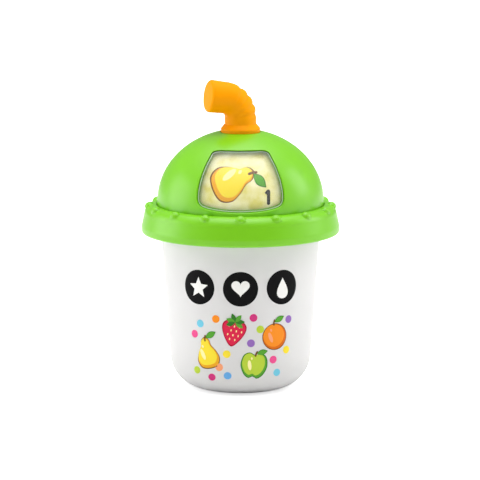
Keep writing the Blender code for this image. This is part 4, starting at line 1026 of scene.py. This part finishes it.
leaf_shape = leaf_outline()
pear_shape = symmetric([(0, -1), (0.52, -0.88), (0.72, -0.45), (0.58, 0.0), (0.34, 0.38),
                        (0.26, 0.72), (0, 0.9)])
apple_shape = symmetric([(0, -0.86), (0.3, -0.98), (0.66, -0.7), (0.9, -0.1), (0.78, 0.52),
                         (0.4, 0.76), (0, 0.62)])
berry_shape = symmetric([(0, -1), (0.42, -0.62), (0.74, -0.02), (0.76, 0.46), (0.42, 0.74), (0, 0.7)])
orange_shape = ellipse(0, -0.1, 0.86)
print("leaf outline of", len(leaf_shape), "points, pear outline of", len(pear_shape))


# %% Films on a round surface
def ribbon(points, width, per_run=6):
    """A smooth band through flat points, as (middle line, half width) for a film."""
    ends = np.vstack([2 * points[0] - points[1], points, 2 * points[-1] - points[-2]])
    curve = spline([ends[k:len(ends) - 3 + k] for k in range(4)], per_run)
    return np.vstack([curve, points[-1:]]), width / 2


def film_grid(shape, level, onto):
    """A closed sheet of ink: a filled outline, or a band if the shape is (line, half width)."""
    top, bottom = -film * (level + 1), -film * (level + 0.1)
    if not isinstance(shape, tuple):
        reach = np.linalg.norm(shape - shape.mean(0), axis=1).max()
        shares = np.linspace(0, 1, 2 + int(reach / 1.2))
        return plate_points(shape, [(share, 0, top) for share in shares]
                            + [(share, 0, bottom) for share in shares[::-1]], onto)
    line, half = shape
    beside = left_of(unit(np.gradient(line, axis=0))) * half
    beside[[0, -1]] = 0
    corners = [(beside, top), (-beside, top), (-beside, bottom), (beside, bottom)]
    return np.stack([onto(line + move, depth) for move, depth in corners]).transpose(1, 0, 2)


def film_levels(films):
    """The level of each film: one above the highest earlier film whose box it overlaps."""
    spans = []
    for _, shape in films:
        points, half = shape if isinstance(shape, tuple) else (shape, 0)
        spans.append((points.min(0) - half, points.max(0) + half))
    levels = []
    for low, high in spans:
        under = [level for level, (l, h) in zip(levels, spans)
                 if (low < h).all() and (high > l).all()]
        levels.append(1 + max(under, default=-1))
    return levels


def print_motif(name, films, onto, body):
    """One printed picture: its films are laid on each other in their order."""
    names = sorted({ink for ink, _ in films})
    levels = film_levels(films)
    grids = [film_grid(shape, level, onto) for level, (_, shape) in zip(levels, films)]
    made = joined(name, grids, [names.index(ink) for ink, _ in films], smooth_deg=60)
    for ink in names:
        made.data.materials.append(inks[ink])
    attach(made, body)
    print(name, len(films), "films in", max(levels) + 1, "levels on", body)


# %% [markdown]
# Each fruit is drawn round zero at a size of one, from a dark contour, a body, a shade and a
# light, with a stalk and leaves.


# %% Fruit
pear_tones = ("brown", "amber", "yellow", "pale yellow")
apple_tones = ("dark leaf", "leaf", "lime", "pale yellow")
orange_tones = ("brown", "dark orange", "orange", "peach")


def fruit(shape, size, x, z, turn_deg, tones, stalk=0.9):
    """The films of one fruit: contour, shade, body, gleams, stalk and leaf."""
    def put(points):
        return place_flat(points, x, z, size, turn_deg)

    contour, shadow, body, light = tones
    base = np.array([0.0, stalk - 0.28])
    return [(contour, put(shape)), (shadow, put(shape * 0.94)),
            (body, put(place_flat(shape, -0.05, 0.07, 0.84))),
            (light, put(ellipse(-0.3, -0.1, 0.12, 0.34, 14))),
            (light, put(ellipse(-0.22, 0.36, 0.06, 0.09, 14))),
            ("brown", ribbon(put([base, base + (0.02, 0.2), base + (0.1, 0.4)]), size * 0.1)),
            ("dark leaf", put(place_flat(leaf_shape, 0.06, stalk - 0.06, 0.78, 20))),
            ("leaf", put(place_flat(leaf_shape, 0.1, stalk - 0.05, 0.68, 20)))]


def strawberry(size, x, z, turn_deg):
    """The films of a strawberry: contour, body, rows of seeds and a crown of leaves."""
    seeds = [(column * 0.34 + (row % 2) * 0.17, 0.34 - row * 0.29)
             for row in range(4) for column in (-1, 0, 1)]
    films = [("dark red", berry_shape), ("red", berry_shape * 0.92)]
    films += [("pale yellow", ellipse(sx, sz, 0.04, 0.075, count=12)) for sx, sz in seeds
              if abs(sx) < 0.54 - 0.42 * max(0.0, -sz)]
    films += [("dark leaf" if k % 2 else "leaf", place_flat(leaf_shape, 0, 0.62, 0.62, turn))
              for k, turn in enumerate((-28, 12, 60, 120, 168, 208))]
    return [(ink, place_flat(flat, x, z, size, turn_deg)) for ink, flat in films]


# %% [markdown]
# ## Prints on the cup
# Three dark discs with white signs stand in a row on the upper half, and fruit among
# confetti dots below. The cup's outline continues round its corner arc, so a motif may
# reach below the straight wall: the reach is then base + sqrt(R^2 - (R - z)^2).


# %% Prints on the cup
def onto_front(flat, depth):
    """Lays flat (distance round the cup, height) points on the cup's front."""
    distance, height = flat.T
    below = np.clip(cup_corner_radius - height, 0, cup_corner_radius)
    bend = cup_base_radius + np.sqrt(cup_corner_radius ** 2 - below ** 2)
    radius = np.where(height < wall_foot[1], bend, cup_radius(height)) - depth
    angle = distance / radius
    return points_of(radius * np.sin(angle), -radius * np.cos(angle), height)


disc_radius, disc_level, disc_spread, dot_radius = 10.2, 65.0, 25.5, 2.3
discs = [("black", ellipse(x, disc_level, disc_radius, count=96))
         for x in (-disc_spread, 0, disc_spread)]
signs = [("white", place_flat(star(), -disc_spread, disc_level - 0.3, 6.4)),
         ("white", place_flat(heart(), 0, disc_level, 5.6)),
         ("white", place_flat(drop(), disc_spread, disc_level - 0.4, 6.2))]
dots = [
    ("orange", -14.5, 47), ("cyan", -24.5, 43.5), ("magenta", 7.5, 48), ("lime", 11.5, 41),
    ("violet", 6.0, 33), ("yellow", -8.0, 26.5), ("pink", -28.5, 37), ("blue", -7.5, 13.5),
    ("peach", -12.5, 18.5), ("pink", 19.5, 22.5), ("yellow", 28.5, 27.5), ("cyan", 22.0, 14.5),
    ("lime", -27.0, 15.5), ("violet", 30.0, 45.5), ("magenta", -17.0, 12.0)]
cup_prints = {
    "discs": discs + signs,
    "pear": fruit(pear_shape, 10.0, -20, 27, 12, pear_tones),
    "strawberry": strawberry(9.0, -4, 40, -10),
    "apple": fruit(apple_shape, 8.8, 8, 20.5, -8, apple_tones, 0.78),
    "orange": fruit(orange_shape, 9.2, 20.5, 37, 6, orange_tones),
    "confetti": [(ink, ellipse(x, z, dot_radius, count=32)) for ink, x, z in dots]}
for title, films in cup_prints.items():
    print_motif("print_" + title, films, onto_front, "case")

# %% [markdown]
# ## Pictures on the drum
# Turning the ring brings one of four counting pictures to the window, a quarter turn
# apart: one pear, two cherries, three oranges and four strawberries, each with its numeral.


# %% Pictures on the drum
def onto_drum(quarter):
    """A function that lays flat (x, z) points on the drum, some quarter turns round."""
    def lay(flat, depth):
        front = onto_dome(flat, drum_inset + depth)
        return np.hstack([turn_flat(front[:, :2], 90 * quarter), front[:, 2:]])
    return lay


numerals = [
    [(-0.28, 0.55), (0.08, 0.9), (0.1, 0.3), (0.1, -0.9)],
    [(-0.5, 0.5), (-0.1, 0.9), (0.45, 0.55), (0.2, -0.1), (-0.5, -0.85), (0.05, -0.85), (0.6, -0.85)],
    [(-0.5, 0.72), (0.1, 0.88), (0.42, 0.42), (-0.05, 0.08), (0.5, -0.35), (0.1, -0.88), (-0.5, -0.7)],
    [(0.3, -0.9), (0.3, 0.0), (0.28, 0.85), (-0.1, 0.25), (-0.55, -0.3), (0.0, -0.33), (0.65, -0.33)]]
numeral_x, numeral_z, numeral_size, numeral_width = 15.5, 117.3, 4.3, 0.42


def cherry(x, z):
    """The films of one cherry on its stalk."""
    stalk = np.array([(x, z + 4.0), (x * 0.6, z + 9.5), (0.5, z + 14)])
    return [("brown", ribbon(stalk, 0.8)), ("dark red", ellipse(x, z, 5.2)),
            ("red", ellipse(x, z, 4.7)), ("pink", ellipse(x - 1.7, z + 1.6, 0.8, 1.3, 30, 20))]


pear_picture = fruit(pear_shape, 13.6, -3.5, 127.0, -66, pear_tones)
cherries = cherry(-7.0, 122) + cherry(6.5, 120.5)
cherries += [("leaf", place_flat(leaf_shape, 1.0, 135.5, 10, -14))]
oranges = [film for x, z in ((-8.5, 121), (8.5, 121), (0, 131.5))
           for film in fruit(orange_shape, 6.4, x, z, 0, orange_tones)]
berries = [film for x, z in ((-9, 132), (5, 134), (-5, 120.5), (9, 121.5))
           for film in strawberry(5.6, x, z, 8)]
for quarter, films in enumerate((pear_picture, cherries, oranges, berries)):
    number = place_flat(numerals[quarter], numeral_x, numeral_z, numeral_size)
    films = films + [("grey", ribbon(number, numeral_size * numeral_width, 10))]
    print_motif("picture_%d" % (quarter + 1), films, onto_drum(quarter), "dial")

# %% [markdown]
# ## Straw
# The straw is one moulding that follows a centre line: an upright stem, a bend and a short
# head. Its bend is ribbed on the outer side only, as on a drinking straw: the radius drops
# between ribs by depth * (1 - distance / half)^2, faded to nothing on the inner side.
# Its mouth is shut, with a well rounded edge, since the toy's straw is a push button.

# %% Straw
straw_radius, mouth_radius, mouth_round = 9.2, 9.5, 1.7
bend_radius, bend_deg, head_length = 11.5, 82.0, 10.0
toward_viewer_deg = 18.0
stem_top = crown + 7.4
groove_degs, groove_half_deg, groove_depth = (5.0, 22.0, 39.0, 56.0), 8.5, 0.85
collar_radius, collar_top, lip_radius, tail_radius = 11.4, crown + 2.7, 13.4, 10.2
tail_low, lip_low, lip_high = 143.3, 146.7, 148.2
straw_columns = 96

lean = math.radians(toward_viewer_deg)
out = np.array([-math.cos(lean), -math.sin(lean), 0])
up = np.array([0, 0, 1.0])
base = supported(rounded([
    (straw_radius - 1.8, tail_low, 0), (tail_radius, tail_low, 0.3),
    (tail_radius, lip_low, 0.1), (lip_radius, lip_low, 0.4), (lip_radius, lip_high, 0.4),
    (collar_radius, lip_high, 0.1), (collar_radius, crown + 0.6, 0.5),
    (straw_radius + 0.5, collar_top, 0.7), (straw_radius, collar_top + 0.5, 0.3),
    (straw_radius, stem_top, 0)]), near=0.4)
bend = np.radians(np.linspace(0, bend_deg, 150))
last = bend[-1]
end_turns = np.radians(np.linspace(0, 90, 9))[1:]
head_run = np.r_[np.linspace(0, head_length - mouth_round, 8)[1:],
                 head_length - mouth_round * (1 - np.sin(end_turns))]
head_radius = np.r_[np.linspace(straw_radius, mouth_radius, 8)[1:],
                    mouth_radius - mouth_round * (1 - np.cos(end_turns))]

upright = points_of(0, base[:, 1], base[:, 0])
curve = points_of(bend_radius * (1 - np.cos(bend)), stem_top + bend_radius * np.sin(bend), straw_radius)
tip = points_of(curve[-1, 0] + head_run * math.sin(last), curve[-1, 1] + head_run * math.cos(last),
                head_radius)
line = np.vstack([upright[0] * (0, 1, 0), upright, curve[1:], tip, tip[-1] * (1, 1, 0)])
turned_by = np.r_[np.zeros(len(upright) + 1), bend[1:], np.full(len(tip) + 1, last)]
gap_to_rib = np.abs(np.degrees(turned_by)[:, None] - np.array(groove_degs)) / groove_half_deg
rib_drop = groove_depth * (np.clip(1 - gap_to_rib, 0, 1) ** 2).sum(1)
rib_drop[:len(upright)] = 0

outer_side = np.clip(0.5 - 0.5 * np.cos(round_angles(straw_columns)), 0, 1) ** 2
radius = line[:, 2, None] - np.minimum(rib_drop, line[:, 2])[:, None] * outer_side
centre = line[:, 0, None] * out + line[:, 1, None] * up
toward = np.cos(turned_by)[:, None] * out - np.sin(turned_by)[:, None] * up
straw = surface("straw_tube", hoops(centre, radius[..., None], toward[:, None], np.cross(up, out),
                                    straw_columns), smooth_deg=60)
dress(straw, orange, "straw", "straw")

# %% [markdown]
# ## Return spring
# A coil under the straw's lip pushes the straw back up. It is a round wire along a helix,
# x = R cos t, y = R sin t, with its height rising evenly.

# %% Return spring
spring_turns, wire_radius, press_travel, press_room = 5, 0.5, 2.5, 0.2
spring_low, spring_high = box_of("straw_spring")
t = np.linspace(0, 2 * np.pi * spring_turns, 48 * spring_turns + 1)
rise = np.interp(t, t[[0, -1]], [spring_low[2] + wire_radius, spring_high[2] - wire_radius])
away = points_of(np.cos(t), np.sin(t), 0)
coil = away * (spring_high[0] - wire_radius) + points_of(0, 0, rise)
wire = np.r_[0, np.full(len(t), wire_radius), 0][:, None, None]
with_ends = np.r_[0, np.arange(len(t)), len(t) - 1]
spring = surface("return_spring", hoops(coil[with_ends], wire, away[with_ends][:, None], up, 12))
dress(spring, finish("spring wire", linear(178, 180, 184), 0.25, Metallic=1.0),
      "case", "straw_spring")
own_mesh(spring)

# %% [markdown]
# ## Finishes of the inner pieces
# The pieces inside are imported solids. Each slot of the record gets its own finish.

# %% Finishes of the inner pieces
inner_finishes = {
    "white_plastic": finish("white inner plastic", linear(232, 232, 226), 0.45, drift=0.02),
    "black_plastic": finish("black plastic", linear(34, 34, 36), 0.42, drift=0.15),
    "steel_screw": finish("zinc plated steel", linear(196, 198, 200), 0.28, drift=0.05,
                          drift_scale=300.0, grain=0.1, Metallic=1.0),
    "spring_steel": finish("spring steel", linear(170, 172, 176), 0.25, Metallic=1.0),
    "nickel": finish("nickel plate", linear(206, 200, 190), 0.24, Metallic=1.0),
    "copper": finish("copper finger", linear(214, 142, 104), 0.3, Metallic=1.0),
    "laminate": finish("green laminate", linear(28, 108, 60), 0.38, drift=0.12,
                       drift_scale=200.0),
    "epoxy": finish("black epoxy", linear(22, 22, 24), 0.22, drift=0.2),
    "sensor_can": finish("sensor can", linear(190, 188, 182), 0.3, Metallic=1.0),
    "speaker_paper": finish("speaker paper", linear(48, 46, 44), 0.85, drift=0.2,
                            drift_scale=400.0, grain=0.4, grain_scale=900.0),
    "ferrite": finish("ferrite", linear(70, 70, 74), 0.5, drift=0.1, grain=0.2),
    "cell_jacket": finish("cell jacket", linear(92, 98, 106), 0.3, drift=0.04),
    "rubber": finish("conductive rubber", linear(40, 40, 42), 0.7, drift=0.1, grain=0.2),
    "red_cover": finish("red wire cover", linear(196, 34, 30), 0.36, drift=0.04),
    "black_cover": finish("black wire cover", linear(32, 32, 34), 0.36, drift=0.1),
    "clear_lamp": glass("clear lamp", (0.95, 0.95, 0.93), 0.08),
    "milky_plastic": milky, "green_plastic": green, "orange_plastic": orange,
    "cream_plastic": cream, "clear_plastic": lens_clear}
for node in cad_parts.values():
    for place in node.material_slots:
        place.material = inner_finishes[place.material.name.split(".")[0]]
print(len(inner_finishes), "finishes on", len(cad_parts), "packed pieces")

# %% [markdown]
# ## Floor
# A pale floor carries the toy's soft shadow. Seen by the camera it glows a little, so that it
# meets the white backdrop without an edge, as on a light table.

# %% Floor
floor_size, floor_sink, floor_glow = 6000.0, 0.05, 0.62
corners = np.array([(-1, -1, 0), (1, -1, 0), (1, 1, 0), (-1, 1, 0)]) * floor_size / 2
floor = build_mesh("floor", corners, np.array([[0, 1, 2, 3]]))
floor.location.z = -floor_sink * mm
pale, tree, shader = new_material("pale floor")
glow = math_node(tree, "MULTIPLY", add_node(tree, "LightPath").outputs["Is Camera Ray"], floor_glow)
feed(tree, shader, {"Base Color": (0.92, 0.92, 0.92, 1), "Roughness": 0.7, "Specular IOR Level": 0.1,
                    "Emission Color": plain_white, "Emission Strength": glow})
floor.data.materials.append(pale)
floor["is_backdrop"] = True

# %% [markdown]
# ## Size
# The size of the dressed toy is printed.

# %% Sizes
low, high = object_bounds()
print("dressed low", [round(v / mm, 2) for v in low], "high", [round(v / mm, 2) for v in high])
